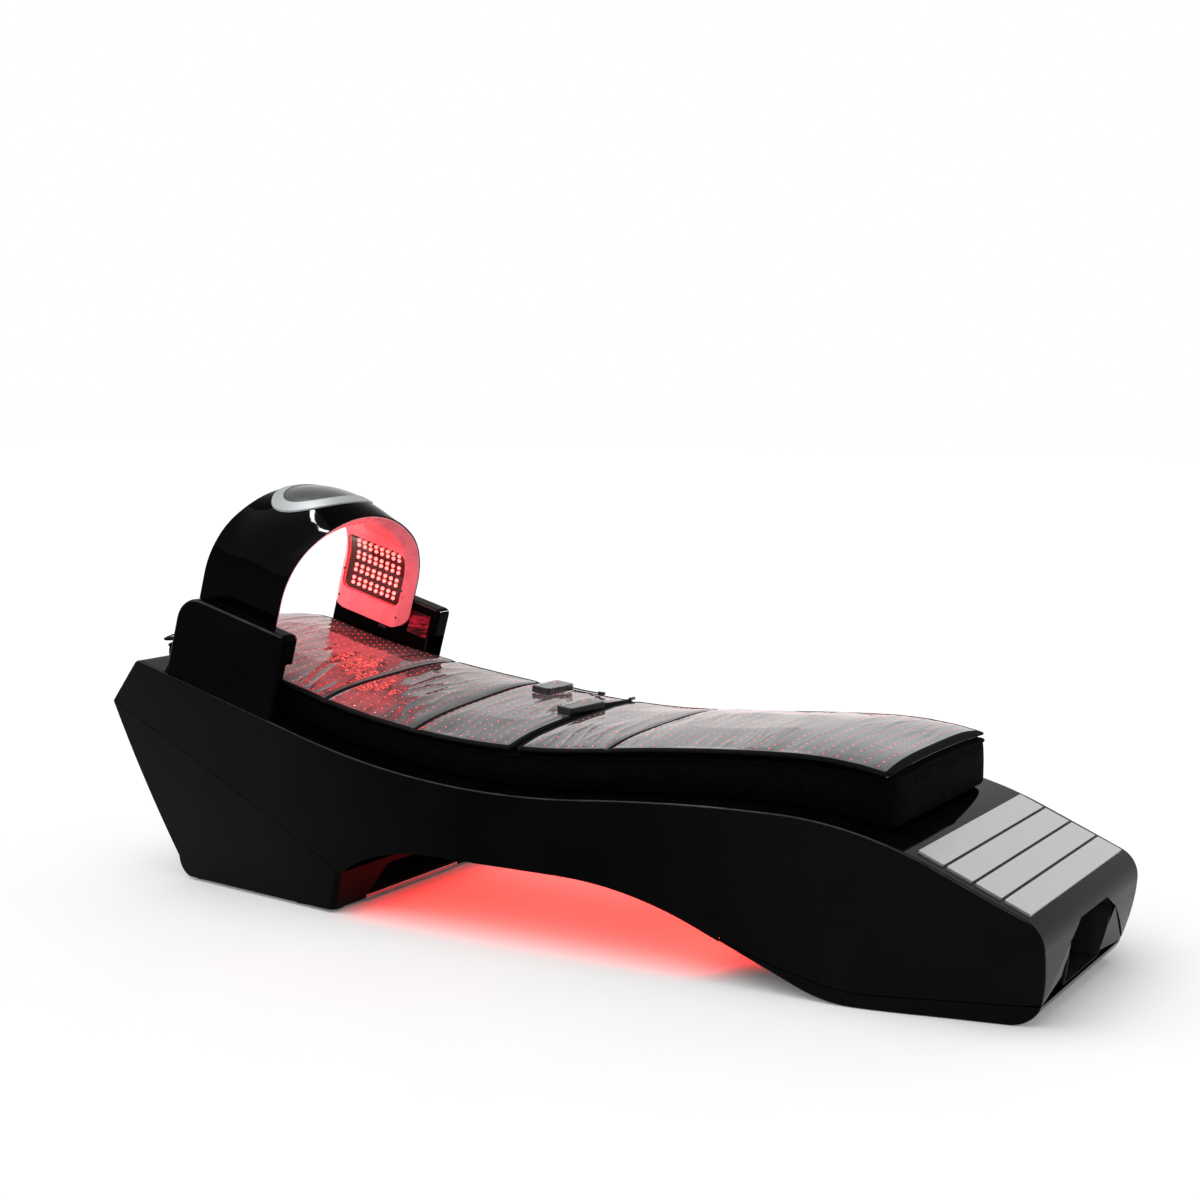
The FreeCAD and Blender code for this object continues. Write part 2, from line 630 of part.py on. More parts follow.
def make_foot_skirt():
    seam_turn = math.degrees(math.asin((SKIRT_CENTRE.z - SKIRT_SEAM_FRONT.z + SEAM_GAP) / NOSE_SKIRT_RADIUS))
    seam_front = polar(SKIRT_CENTRE, NOSE_SKIRT_RADIUS, -seam_turn)
    drop = Vector(0, 0, -SEAM_GAP)
    end_x = SKIRT_END_X + SEAM_GAP
    end_low = point(end_x, ramp_height(end_x))
    end_high = SKIRT_END + Vector(SEAM_GAP, 0, -2 * SEAM_GAP)
    floor_end = polar(RAMP_FLOOR_CENTRE, RAMP_FLOOR_RADIUS, -90)
    edges = [arc(SKIRT_CENTRE, NOSE_SKIRT_RADIUS, -seam_turn, -90),
             line(polar(SKIRT_CENTRE, NOSE_SKIRT_RADIUS, -90), floor_end),
             arc(RAMP_FLOOR_CENTRE, RAMP_FLOOR_RADIUS, -90, -90 - RAMP_SLOPE),
             line(RAMP_END, end_low),
             line(end_low, end_high),
             Part.Arc(end_high, SKIRT_MID + drop, SKIRT_LOW + drop).toShape(),
             line(SKIRT_LOW + drop, seam_front)]
    skirt = within_sides(prism(edges, BLANK_HALF), 0)
    skirt = round_side_edges(skirt, CREASE_RADIUS, lambda place: place.x > SKIRT_CENTRE.x)
    hollow = box((floor_end.x + SKIRT_WALL, -BLANK_HALF, SKIRT_FLOOR),
                 (SKIRT_CENTRE.x, BLANK_HALF, NOSE_TAPER_HEIGHT))
    return skirt.cut(within_sides(hollow, SKIRT_WALL))


REAR_KNEE = point(from_tip(REAR_KNEE_FROM_TIP), REAR_KNEE_HEIGHT)


def rear_arc():
    """Bowed rear line of the head base, from its knee up to the tip."""
    chord = HEAD_TIP - REAR_KNEE
    bow = Vector(-chord.z, 0, chord.x).normalize() * REAR_BOW
    return Part.Arc(REAR_KNEE, REAR_KNEE * 0.5 + HEAD_TIP * 0.5 + bow, HEAD_TIP)


def head_outline(bottom):
    """Closed side outline of the head base under the diagonal seam."""
    heel = point(from_tip(REAR_FOOT_FROM_TIP), bottom)
    heel_middle = REAR_KNEE * 0.5 + heel * 0.5 + Vector(-REAR_BOW / 2, 0, -REAR_BOW)
    wall_low = point(from_tip(HEAD_WALL_FROM_TIP), bottom)
    return [line(HEAD_TIP, ARCH_END),
            line(ARCH_END, wall_low),
            line(wall_low, heel),
            Part.Arc(heel, heel_middle, REAR_KNEE).toShape(),
            rear_arc().toShape()]


def head_void(depth):
    """Inside of the head base, open upwards."""
    floor = PAD_HEIGHT + depth
    shift = Vector(2 * depth, 0, 0)
    knee = REAR_KNEE + shift
    tip = HEAD_TIP + shift
    heel = point(from_tip(REAR_FOOT_FROM_TIP) + 2 * depth, floor)
    lean = (ARCH_END.x - from_tip(HEAD_WALL_FROM_TIP)) / (ARCH_END.z - PAD_HEIGHT)
    wall_low = point(from_tip(HEAD_WALL_FROM_TIP) - 1.5 * depth, floor)
    wall_high = wall_low + Vector(lean * TIP_HEIGHT, 0, TIP_HEIGHT)
    top_rear = point(tip.x, wall_high.z)
    points = [heel, wall_low, wall_high, top_rear, tip, knee, heel]
    return within_sides(prism(chain(points), BLANK_HALF), depth)


def head_recess(extra, depth):
    """Prism into the head wall with the outline of its recess, grown by an extra."""
    front = from_tip(ARCH_END_FROM_TIP) + SIDE_OVERRUN
    corners = ((-HEAD_RECESS_HALF_BOTTOM - extra, HEAD_RECESS_SILL - extra),
               (HEAD_RECESS_HALF_BOTTOM + extra, HEAD_RECESS_SILL - extra),
               (HEAD_RECESS_HALF_TOP + extra, HEAD_RECESS_TOP + extra),
               (-HEAD_RECESS_HALF_TOP - extra, HEAD_RECESS_TOP + extra))
    reach = front - from_tip(HEAD_WALL_FROM_TIP) + depth
    return polygon_prism([Vector(front, y, z) for y, z in corners], Vector(-reach, 0, 0))


def above_seam():
    """Everything above the diagonal seam, less the seam's gap."""
    run = (ARCH_END - HEAD_TIP).normalize() * SIDE_OVERRUN
    drop = Vector(0, 0, -SEAM_GAP)
    rise = Vector(0, 0, 2 * TIP_HEIGHT)
    rear = HEAD_TIP - run + drop
    front = ARCH_END + run + drop
    return prism(chain([rear, front, front + rise, rear + rise, rear]), BLANK_HALF)


def on_head_wall(place):
    """Whether a place of the sides is on the upright edge of the wall that faces the arch."""
    return place.x > from_tip(HEAD_WALL_FROM_TIP) and place.z < ARCH_END.z


def make_head_base():
    base = within_sides(prism(head_outline(PAD_HEIGHT), BLANK_HALF), 0)
    base = round_side_edges(base, HEAD_EDGE_RADIUS, on_head_wall)
    base = base.cut(above_seam()).cut(head_void(SHELL_WALL))
    base = base.cut(head_recess(0, 3 * SHELL_WALL))
    return base.cut(inlet_place(inlet_window()))


def make_head_recess_liner():
    """Dark pocket behind the head wall's recess."""
    outer = head_recess(LINER_WALL, HEAD_RECESS_DEPTH + LINER_WALL)
    liner = outer.cut(head_recess(0, HEAD_RECESS_DEPTH))
    return liner.common(head_void(SHELL_WALL + FIT_GAP))


def make_foot_recess_liner():
    """Dark tunnel behind the foot opening, closed at its back."""
    floor = CHEEK_BOTTOM + FIT_GAP + LINER_WALL
    tunnel = foot_opening(LINER_WALL, NOSE_X, FOOT_OPENING_DEPTH + LINER_WALL, floor)
    tunnel = tunnel.cut(foot_opening(0, NOSE_X, FOOT_OPENING_DEPTH, floor))
    return tunnel.common(upper_void(SHELL_WALL + FIT_GAP))


def arch_edges(rise):
    """The arch line from the ramp to the head end, raised square to itself."""
    ramp_x = SKIRT_END_X
    ramp_foot = point(ramp_x, ramp_height(ramp_x)) + Vector(RAMP_SINE, 0, RAMP_COSINE) * rise
    return [line(ramp_foot, polar(RAMP_CENTRE, RAMP_TOP_RADIUS + rise, 90 - RAMP_SLOPE)),
            arc(RAMP_CENTRE, RAMP_TOP_RADIUS + rise, 90 - RAMP_SLOPE, 90),
            line(polar(RAMP_CENTRE, RAMP_TOP_RADIUS + rise, 90),
                 polar(ARCH_HEAD_CENTRE, ARCH_HEAD_RADIUS + rise, 90)),
            arc(ARCH_HEAD_CENTRE, ARCH_HEAD_RADIUS + rise, 90, ARCH_END_TURN)]


def make_arch_liner():
    """Sheet closing the underside along the arch, set up inside the shell's lower edge."""
    low = arch_edges(ARCH_LINER_RISE)
    high = arch_edges(ARCH_LINER_RISE + ARCH_LINER_THICKNESS)
    edges = low + [line(low[-1].Vertexes[-1].Point, high[-1].Vertexes[-1].Point)]
    edges += high + [line(high[0].Vertexes[0].Point, low[0].Vertexes[0].Point)]
    return within_sides(prism(Part.__sortEdges__(edges), BLANK_HALF), SHELL_WALL + FIT_GAP)


def make_plates():
    """Metal plates across the sloped foot deck, numbered from the mattress."""
    plates = []
    first_edge = PLATE_COUNT * (PLATE_LENGTH + PLATE_GAP) - PLATE_GAP
    deck_end = FOOT_START + FOOT_DIRECTION * ((from_nose(PLATE_FROM_NOSE_EDGE) - FOOT_START.x)
                                              / FOOT_DIRECTION.x)
    placement = Placement(deck_end, Rotation(Vector(0, 1, 0), FOOT_SLOPE))
    for number in range(PLATE_COUNT):
        start = -first_edge + number * (PLATE_LENGTH + PLATE_GAP)
        plate = box((start, -PLATE_HALF_WIDTH, 0), (start + PLATE_LENGTH, PLATE_HALF_WIDTH, PLATE_THICKNESS))
        upright = [edge for edge in plate.Edges if abs(edge.tangentAt(edge.FirstParameter).z) > 0.9]
        plate = plate.makeFillet(PLATE_CORNER, upright)
        plate.Placement = placement
        plates.append(plate)
    return plates


# Head frame for the wings and the dome
HEAD_ORIGIN = head_line(from_tip(WING_REAR_FROM_TIP), 0)
HEAD_FRAME = Placement(HEAD_ORIGIN, Rotation(Vector(0, 1, 0), HEAD_SLOPE))


def head_place(shape):
    """Move a shape from the head frame to the bed's frame."""
    placed = shape.copy()
    placed.Placement = HEAD_FRAME.multiply(placed.Placement)
    return placed


def cross_cylinder(u, v, radius, first_y, last_y):
    """Round bar across the bed, in the head frame."""
    return Part.makeCylinder(radius, last_y - first_y, Vector(u, first_y, v), Vector(0, 1, 0))


def wing_outline(inset):
    """Closed side outline of a wing, drawn in on its top and ends."""
    high = WING_HEIGHT - inset
    rear = inset
    front = WING_LENGTH - inset
    rear_round = WING_REAR_ROUND - inset
    front_round = max(WING_FRONT_ROUND - inset, WING_EDGE_ROUND)
    return [line(point(rear, 0), point(rear, high - rear_round)),
            arc(point(rear + rear_round, high - rear_round), rear_round, 180, 90),
            line(point(rear + rear_round, high), point(front - front_round, high)),
            arc(point(front - front_round, high - front_round), front_round, 90, 0),
            line(point(front, high - front_round), point(front, 0)),
            line(point(front, 0), point(rear, 0))]


def across(edges, first_y, last_y):
    """Solid across the bed between two places, from a closed outline in the side view."""
    face = Part.Face(Part.Wire(edges))
    face.translate(Vector(0, first_y, 0))
    return face.extrude(Vector(0, last_y - first_y, 0))


def make_wing():
    """Left wing: a hollow upright with an open slot low on its front."""
    wing = across(wing_outline(0), WING_INNER_HALF, HALF_WIDTH)
    rounded = [edge for edge in wing.Edges
               if edge.BoundBox.YLength < 1 and edge.BoundBox.ZMax > 1]
    wing = wing.makeFillet(WING_EDGE_ROUND, rounded)
    hollow = across(wing_outline(WING_WALL), WING_INNER_HALF + WING_WALL, HALF_WIDTH - WING_WALL)
    slot = box((WING_LENGTH - 2 * WING_WALL, WING_INNER_HALF - WING_WALL, 0),
               (WING_LENGTH + WING_WALL, HALF_WIDTH - WING_WALL, WING_SLOT_HEIGHT))
    wing = wing.cut(hollow).cut(slot)
    return wing.cut(cross_cylinder(PIVOT_U, PIVOT_V, PIN_RADIUS, WING_INNER_HALF - WING_WALL,
                                   WING_INNER_HALF + PIN_INTO_WING))


def make_wing_panel():
    """Gloss panel on the left wing's inner face, in front of the dome's leg."""
    front = WING_LENGTH - WING_PANEL_FRONT_MARGIN
    top = WING_HEIGHT - WING_PANEL_MARGIN
    return box((front - WING_PANEL_LENGTH, WING_INNER_HALF - WING_PANEL_THICKNESS, top - WING_PANEL_HEIGHT),
               (front, WING_INNER_HALF, top))


# Dome
def dome_arch(half, crown, shoulder, u, foot):
    """Closed three-centred arch across the bed at a place along the head frame."""
    rise = crown - DOME_SPRING
    side = half - shoulder
    top_radius = (side ** 2 + rise ** 2 - shoulder ** 2) / (2 * (rise - shoulder))
    top_centre = crown - top_radius
    lean = math.atan2(side, DOME_SPRING - top_centre)
    join = (top_radius * math.sin(lean), top_centre + top_radius * math.cos(lean))
    middle_turn = (math.pi / 2 - lean) / 2
    middle = (side + shoulder * math.cos(middle_turn), DOME_SPRING + shoulder * math.sin(middle_turn))

    def at(y, v):
        return Vector(u, y, v)

    return Part.Wire([line(at(-half, foot), at(-half, DOME_SPRING)),
                      Part.Arc(at(-half, DOME_SPRING), at(-middle[0], middle[1]),
                               at(-join[0], join[1])).toShape(),
                      Part.Arc(at(-join[0], join[1]), at(0, crown), at(join[0], join[1])).toShape(),
                      Part.Arc(at(join[0], join[1]), at(middle[0], middle[1]),
                               at(half, DOME_SPRING)).toShape(),
                      line(at(half, DOME_SPRING), at(half, foot)),
                      line(at(half, foot), at(-half, foot))])


DOME_FRONT = DOME_REAR + DOME_LENGTH
DOME_MIDDLE = DOME_REAR + DOME_LENGTH / 2


def arch_block(offset, first_u, last_u):
    """Plain arch-shaped block, its surface an offset inside the dome's rim."""
    wire = dome_arch(DOME_HALF - offset, DOME_CROWN - offset, DOME_SHOULDER_RADIUS - offset, first_u,
                     DOME_FOOT - DOME_LIP)
    return Part.Face(wire).extrude(Vector(last_u - first_u, 0, 0))


def leg_trim():
    """Side outline of the dome, with round lower corners, as a block across the bed."""
    rear_centre = point(DOME_REAR + DOME_REAR_CORNER, DOME_FOOT + DOME_REAR_CORNER)
    front_centre = point(DOME_FRONT - DOME_FRONT_CORNER, DOME_FOOT + DOME_FRONT_CORNER)
    rear_top = point(DOME_REAR, 2 * DOME_CROWN)
    front_top = point(DOME_FRONT, 2 * DOME_CROWN)
    edges = [line(rear_top, point(DOME_REAR, rear_centre.z)),
             arc(rear_centre, DOME_REAR_CORNER, 180, 270),
             line(point(rear_centre.x, DOME_FOOT), point(front_centre.x, DOME_FOOT)),
             arc(front_centre, DOME_FRONT_CORNER, -90, 0),
             line(point(DOME_FRONT, front_centre.z), front_top),
             line(front_top, rear_top)]
    return across(edges, -2 * DOME_HALF, 2 * DOME_HALF)


def dome_bulk(proud):
    """The dome's crowned outer form, standing proud by an amount."""
    foot = DOME_FOOT - DOME_LIP
    rim = [dome_arch(DOME_HALF + proud, DOME_CROWN + proud, DOME_SHOULDER_RADIUS + proud, u, foot)
           for u in (DOME_REAR, DOME_FRONT)]
    middle = dome_arch(DOME_HALF + proud, DOME_CROWN + DOME_BULGE + proud, DOME_SHOULDER_RADIUS + proud,
                       DOME_MIDDLE, foot)
    return Part.makeLoft([rim[0], middle, rim[1]], True, False)


def pivot_holes(radius):
    """Bores through both dome legs at the hinge."""
    reach = DOME_HALF - PIN_INTO_DOME - BUSH_WALL
    left = cross_cylinder(PIVOT_U, PIVOT_V, radius, reach, DOME_HALF + DOME_LIP)
    return left.fuse(mirrored(left))


def ring_blank(half, rear, length):
    """Upright oval block over the dome's crown."""
    centre_u = rear + length / 2
    oval = Part.Ellipse(Vector(centre_u, half, 0), Vector(centre_u + length / 2, 0, 0),
                        Vector(centre_u, 0, 0)).toShape()
    face = Part.Face(Part.Wire([oval]))
    return face.extrude(Vector(0, 0, 2 * DOME_CROWN))


def make_dome_shell():
    shell = dome_bulk(0).cut(arch_block(DOME_SHELL_WALL, DOME_REAR - DOME_LIP, DOME_FRONT + DOME_LIP))
    shell = shell.common(leg_trim())
    seat = ring_blank(RING_OUTER_HALF + DOME_FIT, RING_REAR - DOME_FIT, RING_LENGTH + 2 * DOME_FIT)
    shell = shell.cut(seat.cut(dome_bulk(-DOME_SHELL_WALL)))
    return shell.cut(pivot_holes(PIN_RADIUS + BUSH_WALL))


def make_ring_and_panel():
    """Silver ring and dark panel set into the top of the dome."""
    floor = dome_bulk(-DOME_SHELL_WALL + DOME_FIT)
    outer = ring_blank(RING_OUTER_HALF, RING_REAR, RING_LENGTH)
    inner_rear = RING_REAR + RING_REAR_BAND
    inner_length = RING_LENGTH - RING_REAR_BAND - RING_FRONT_BAND
    inner = ring_blank(RING_INNER_HALF, inner_rear, inner_length)
    panel_blank = ring_blank(RING_INNER_HALF - DOME_FIT, inner_rear + DOME_FIT, inner_length - 2 * DOME_FIT)
    ring = outer.cut(inner).common(dome_bulk(RING_PROUD)).cut(floor)
    panel = panel_blank.common(dome_bulk(PANEL_PROUD)).cut(floor)
    return ring, panel


def window_blocks(margin, depth):
    """Blocks that bound the side and top light windows, grown by a margin; depth cuts them off outside."""
    rear = DOME_REAR + WINDOW_MARGIN - margin
    front = DOME_FRONT - WINDOW_MARGIN + margin
    side = box((rear, 0, WINDOW_FOOT - margin), (front, DOME_HALF - depth, WINDOW_TOP + margin))
    corners = [edge for edge in side.Edges if edge.BoundBox.YLength > 1]
    side = side.makeFillet(WINDOW_CORNER, corners)
    top = box((rear, -WINDOW_TOP_HALF - margin, DOME_SPRING),
              (front, WINDOW_TOP_HALF + margin, DOME_CROWN - depth))
    corners = [edge for edge in top.Edges if edge.BoundBox.ZLength > 1]
    top = top.makeFillet(WINDOW_CORNER, corners)
    return [side, mirrored(side), top]


def arch_layer(outer_offset, inner_offset):
    """Arch-shaped layer between two offsets inside the dome's rim."""
    outer = arch_block(outer_offset, DOME_REAR, DOME_FRONT)
    return outer.cut(arch_block(inner_offset, DOME_REAR - DOME_LIP, DOME_FRONT + DOME_LIP))


LINER_INNER = DOME_SHELL_WALL + DOME_LINER_THICKNESS
POCKET_FLOOR = LINER_INNER - WINDOW_POCKET


def make_dome_liner():
    """Pale inner moulding of the dome, lipped at both rims, with pockets for the light panels."""
    liner = arch_block(DOME_SHELL_WALL + DOME_FIT, DOME_REAR, DOME_FRONT)
    foot = DOME_FOOT - 2 * DOME_LIP
    lip_offset = DOME_SHELL_WALL + 2.5

    def inner_arch(offset, u):
        return dome_arch(DOME_HALF - offset, DOME_CROWN - offset, DOME_SHOULDER_RADIUS - offset, u, foot)

    bore = Part.makeLoft([inner_arch(lip_offset, DOME_REAR - DOME_FIT),
                          inner_arch(LINER_INNER, DOME_REAR + DOME_LIP),
                          inner_arch(LINER_INNER, DOME_FRONT - DOME_LIP),
                          inner_arch(lip_offset, DOME_FRONT + DOME_FIT)], True, True)
    liner = liner.cut(bore).common(leg_trim())
    pocket_layer = arch_layer(POCKET_FLOOR, LINER_INNER + DOME_LIP)
    for block in window_blocks(0, 0):
        liner = liner.cut(pocket_layer.common(block))
    return liner.cut(pivot_holes(PIN_RADIUS + BUSH_WALL))


def make_windows():
    """Clear covers flush with the liner's inner face."""
    layer = arch_layer(LINER_INNER - WINDOW_THICKNESS, LINER_INNER)
    return [layer.common(block) for block in window_blocks(-DOME_FIT, 0)]


def make_boards():
    """Light boards on the floors of the liner's pockets."""
    layer = arch_layer(POCKET_FLOOR + DOME_FIT, POCKET_FLOOR + DOME_FIT + BOARD_THICKNESS)
    return [layer.common(block) for block in window_blocks(-2 * DOME_FIT, 0)]


def arch_point(offset, run):
    """Place and inward direction on the arch, by the distance run up from the springing line on the left."""
    half = DOME_HALF - offset
    shoulder = DOME_SHOULDER_RADIUS - offset
    if run < 0:
        return Vector(0, half, DOME_SPRING + run), Vector(0, -1, 0)
    turn = run / shoulder
    direction = Vector(0, -math.cos(turn), -math.sin(turn))
    centre = Vector(0, half - shoulder, DOME_SPRING)
    return centre - direction * shoulder, direction


def crown_point(offset, y):
    """Place and inward direction on the arch's flat crown, at a distance from the middle."""
    rise = DOME_CROWN - DOME_SPRING - offset
    shoulder = DOME_SHOULDER_RADIUS - offset
    side = DOME_HALF - DOME_SHOULDER_RADIUS
    radius = (side ** 2 + rise ** 2 - shoulder ** 2) / (2 * (rise - shoulder))
    centre = Vector(0, 0, DOME_CROWN - offset - radius)
    place = Vector(0, y, centre.z + math.sqrt(radius ** 2 - y ** 2))
    return place, (centre - place).normalize()


def light(place, direction):
    return Part.makeCylinder(LIGHT_RADIUS, LIGHT_HEIGHT, place, direction)


def make_dome_lights():
    """Rows of round lights on the three boards."""
    surface = POCKET_FLOOR + DOME_FIT + BOARD_THICKNESS + LIGHT_LIFT
    lights = []
    first_u = DOME_MIDDLE - (LIGHT_COLUMNS - 1) * LIGHT_PITCH / 2
    first_run = WINDOW_FOOT - DOME_SPRING + LIGHT_PAIR_PITCH / 2
    for column in range(LIGHT_COLUMNS):
        along = Vector(first_u + column * LIGHT_PITCH, 0, 0)
        for pair in range(LIGHT_ROW_PAIRS):
            for row in range(2):
                run = first_run + pair * LIGHT_PAIR_PITCH + row * LIGHT_PAIR_GAP
                place, direction = arch_point(surface, run)
                left = light(place + along, direction)
                lights += [left, mirrored(left)]
        for row in range(TOP_LIGHT_ROWS):
            place, direction = crown_point(surface, (row - (TOP_LIGHT_ROWS - 1) / 2) * LIGHT_PITCH)
            lights.append(light(place + along, direction))
    return lights


def make_liner_screws():
    """Small screw heads on the liner's inner face round the side windows."""
    heads = []
    for u in (DOME_REAR + WINDOW_MARGIN / 2 + DOME_LIP / 2, DOME_FRONT - WINDOW_MARGIN / 2 - DOME_LIP / 2):
        for v in (WINDOW_FOOT - WINDOW_MARGIN, DOME_SPRING - WINDOW_MARGIN):
            inner = DOME_HALF - LINER_INNER
            head = cross_cylinder(u, v, SCREW_RADIUS, inner - SCREW_HEIGHT, inner)
            heads += [head, mirrored(head)]
    return heads


def make_hinge():
    """Pins fixed in the wings, bushes in the dome's legs and friction discs between them."""
    inner = DOME_HALF - PIN_INTO_DOME
    pin = cross_cylinder(PIVOT_U, PIVOT_V, PIN_RADIUS, inner, WING_INNER_HALF + PIN_INTO_WING)
    bush = cross_cylinder(PIVOT_U, PIVOT_V, PIN_RADIUS + BUSH_WALL, inner - BUSH_WALL, DOME_HALF)
    bush = bush.cut(cross_cylinder(PIVOT_U, PIVOT_V, PIN_RADIUS + PIN_RUNNING_FIT, inner - DOME_FIT,
                                   WING_INNER_HALF))
    disc = cross_cylinder(PIVOT_U, PIVOT_V, DISC_RADIUS, DOME_HALF + DOME_FIT, WING_INNER_HALF)
    disc = disc.cut(cross_cylinder(PIVOT_U, PIVOT_V, PIN_RADIUS + PIN_RUNNING_FIT, DOME_HALF,
                                   WING_INNER_HALF + FIT_GAP))
    return pin, bush, disc


def make_rest_stop():
    """Block on the left wing's inner face that the dome's front corner comes down on."""
    front = DOME_FRONT - REST_STOP_FROM_FRONT
    top = DOME_FOOT - DOME_FIT
    return box((front - REST_STOP_LENGTH, WING_INNER_HALF - REST_STOP_REACH, top - REST_STOP_HEIGHT),
               (front, WING_INNER_HALF, top))


# Mattress and mats
MATTRESS_HEAD = from_tip(MATTRESS_HEAD_FROM_TIP)
MATTRESS_FOOT = from_nose(MATTRESS_FOOT_FROM_NOSE)
UPPER_MAT_HEAD = MATTRESS_HEAD - MAT_HEAD_OVERHANG
UPPER_MAT_FOOT = UPPER_MAT_HEAD + UPPER_MAT_LENGTH


def mattress_top(x):
    """Height of the mattress's top edge."""
    share = (x - MATTRESS_HEAD) / (MATTRESS_FOOT - MATTRESS_HEAD)
    growth = (MATTRESS_FOOT_THICKNESS - MATTRESS_HEAD_THICKNESS) * max(0, share) ** 2.2
    near_head = max(0, 1 - (x - MATTRESS_HEAD) / MATTRESS_HEAD_DROP_LENGTH)
    return deck_height(x) + MATTRESS_HEAD_THICKNESS + growth - MATTRESS_HEAD_DROP * near_head ** 2


def bridge_lift(x, y):
    """How far the pads stand up at a place: nothing at their right edge, most at the left over the dip."""
    offset = x - from_tip(BRIDGE_FROM_TIP)
    run = BRIDGE_FOOT_RUN if offset > 0 else BRIDGE_HEAD_RUN
    share = max(0, 1 - abs(offset) / run)
    rise = BRIDGE_LIFT * (1 - math.cos(math.pi * share)) / 2
    return rise * (1 + y / MAT_HALF_WIDTH) / 2


def pad_section(x, low, high, half, bulge, crown_low, crown_high, fullness):
    """Closed section of a padded piece across the bed: a line or arc below, an arc above, bowed sides."""
    def at(y, z):
        return Vector(x, y, z)

    def lifted(y, z):
        return at(y, z + bridge_lift(x, y))

    place_low = lifted if crown_low else at
    low_left = place_low(half, low)
    low_right = place_low(-half, low)
    high_left = lifted(half, high)
    high_right = lifted(-half, high)
    bottom = line(low_right, low_left)
    if crown_low:
        bottom = Part.Arc(low_right, lifted(0, low + crown_low), low_left).toShape()
    left = Part.Arc(low_left, at(half + bulge, (low_left.z + high_left.z) / 2), high_left).toShape()
    shares = [number / CROWN_POINTS for number in range(CROWN_POINTS, -CROWN_POINTS - 1, -1)]
    crown = Part.BSplineCurve()
    crown.interpolate([lifted(half * share, high + crown_high * (1 - abs(share) ** fullness))
                       for share in shares])
    top = crown.toShape()
    right = Part.Arc(high_right, at(-half - bulge, (low_right.z + high_right.z) / 2), low_right).toShape()
    return Part.Wire([bottom, left, top, right])


def end_shrink(x, head, foot, corner):
    """How far a pad's sides are drawn in near its ends, for round upright corners."""
    inside = min(x - head, foot - x)
    if inside >= corner:
        return 0
    return corner - math.sqrt(max(0, corner ** 2 - (corner - inside) ** 2))


def head_drop_places():
    """X of the sections that the pads share where they fall towards the head end."""
    return [MATTRESS_HEAD + MATTRESS_HEAD_DROP_LENGTH * share for share in (0.45, 0.8)]


def make_mattress():
    step = (MATTRESS_FOOT - MATTRESS_HEAD) / MATTRESS_SECTIONS
    places = [MATTRESS_HEAD + step * number for number in range(1, MATTRESS_SECTIONS)]
    near_end = [MATTRESS_CORNER * share for share in (0.02, 0.12, 0.4, 1)]
    places += [MATTRESS_HEAD + run for run in near_end] + [MATTRESS_FOOT - run for run in near_end]
    places += head_drop_places()
    wires = []
    for x in sorted(places):
        shrink = end_shrink(x, MATTRESS_HEAD, MATTRESS_FOOT, MATTRESS_CORNER)
        half = MATTRESS_HALF_WIDTH - MATTRESS_DRAW_IN - shrink
        wires.append(pad_section(x, deck_height(x) + SOFT_GAP, mattress_top(x), half, MATTRESS_DRAW_IN, 0,
                                 MATTRESS_CROWN, MATTRESS_FULLNESS))
    return Part.makeLoft(wires, True, True)


def make_mat(head, foot, seam_runs):
    """Quilted light mat on the mattress, with a sewn channel at each seam, counted from its head end."""
    seams = [head + run for run in seam_runs]
    count = math.ceil((foot - head) / MAT_SECTION_STEP)
    places = [head + (foot - head) * number / count for number in range(count + 1)]
    places = [x for x in places if all(abs(x - seam) > 2 * MAT_CHANNEL_HALF for seam in seams)]
    places += [x for x in head_drop_places() + [MATTRESS_HEAD + MATTRESS_CORNER] if head < x < foot]
    for seam in seams:
        places += [seam - MAT_CHANNEL_HALF, seam, seam + MAT_CHANNEL_HALF]
    wires = []
    for x in sorted(places):
        low = mattress_top(min(max(x, MATTRESS_HEAD), MATTRESS_FOOT)) + MAT_GAP
        dip = MAT_CHANNEL_DEPTH if x in seams else 0
        wires.append(pad_section(x, low, low + MAT_EDGE - dip / 2, MAT_HALF_WIDTH, 0.5, MATTRESS_CROWN,
                                 MATTRESS_CROWN + MAT_PADDING - dip / 2, MAT_FULLNESS))
    return Part.makeLoft(wires, True, True)


def mat_surface(x, y):
    """Height of the mats' top at a place, away from the seams."""
    crown = MATTRESS_CROWN + MAT_PADDING
    rise = crown * (1 - abs(y / MAT_HALF_WIDTH) ** MAT_FULLNESS)
    return mattress_top(x) + MAT_GAP + MAT_EDGE + rise + bridge_lift(x, y)


# Handsets
def handset_frame(number):
    """Placement of a handset lying on the mats: X along its width, Y along its length, Z up."""
    run, inward, turn = HANDSET_PLACES[number]
    x = UPPER_MAT_HEAD + run
    y = MAT_HALF_WIDTH - inward
    reach_x = HANDSET_WIDTH / 2
    reach_y = HANDSET_LENGTH / 2
    slope_x = (mat_surface(x + reach_x, y) - mat_surface(x - reach_x, y)) / HANDSET_WIDTH
    slope_y = (mat_surface(x, y + reach_y) - mat_surface(x, y - reach_y)) / HANDSET_LENGTH
    flat = Rotation(Vector(0, 0, 1), Vector(-slope_x, -slope_y, 1))
    frame = Placement(Vector(x, y, mat_surface(x, y)), flat * Rotation(Vector(0, 0, 1), turn))
    rises = []
    for side_x in (-1, 0, 1):
        for side_y in (-1, 0, 1):
            corner = frame.multVec(Vector(side_x * reach_x, side_y * reach_y, 0))
            rises.append(mat_surface(corner.x, corner.y) - corner.z)
    frame.Base = frame.Base + Vector(0, 0, max(rises) + HANDSET_LIFT)
    return frame


def rounded_block(half_x, half_y, low, high, corner):
    block = box((-half_x, -half_y, low), (half_x, half_y, high))
    upright = [edge for edge in block.Edges if edge.BoundBox.ZLength > (high - low) / 2]
    return block.makeFillet(corner, upright)


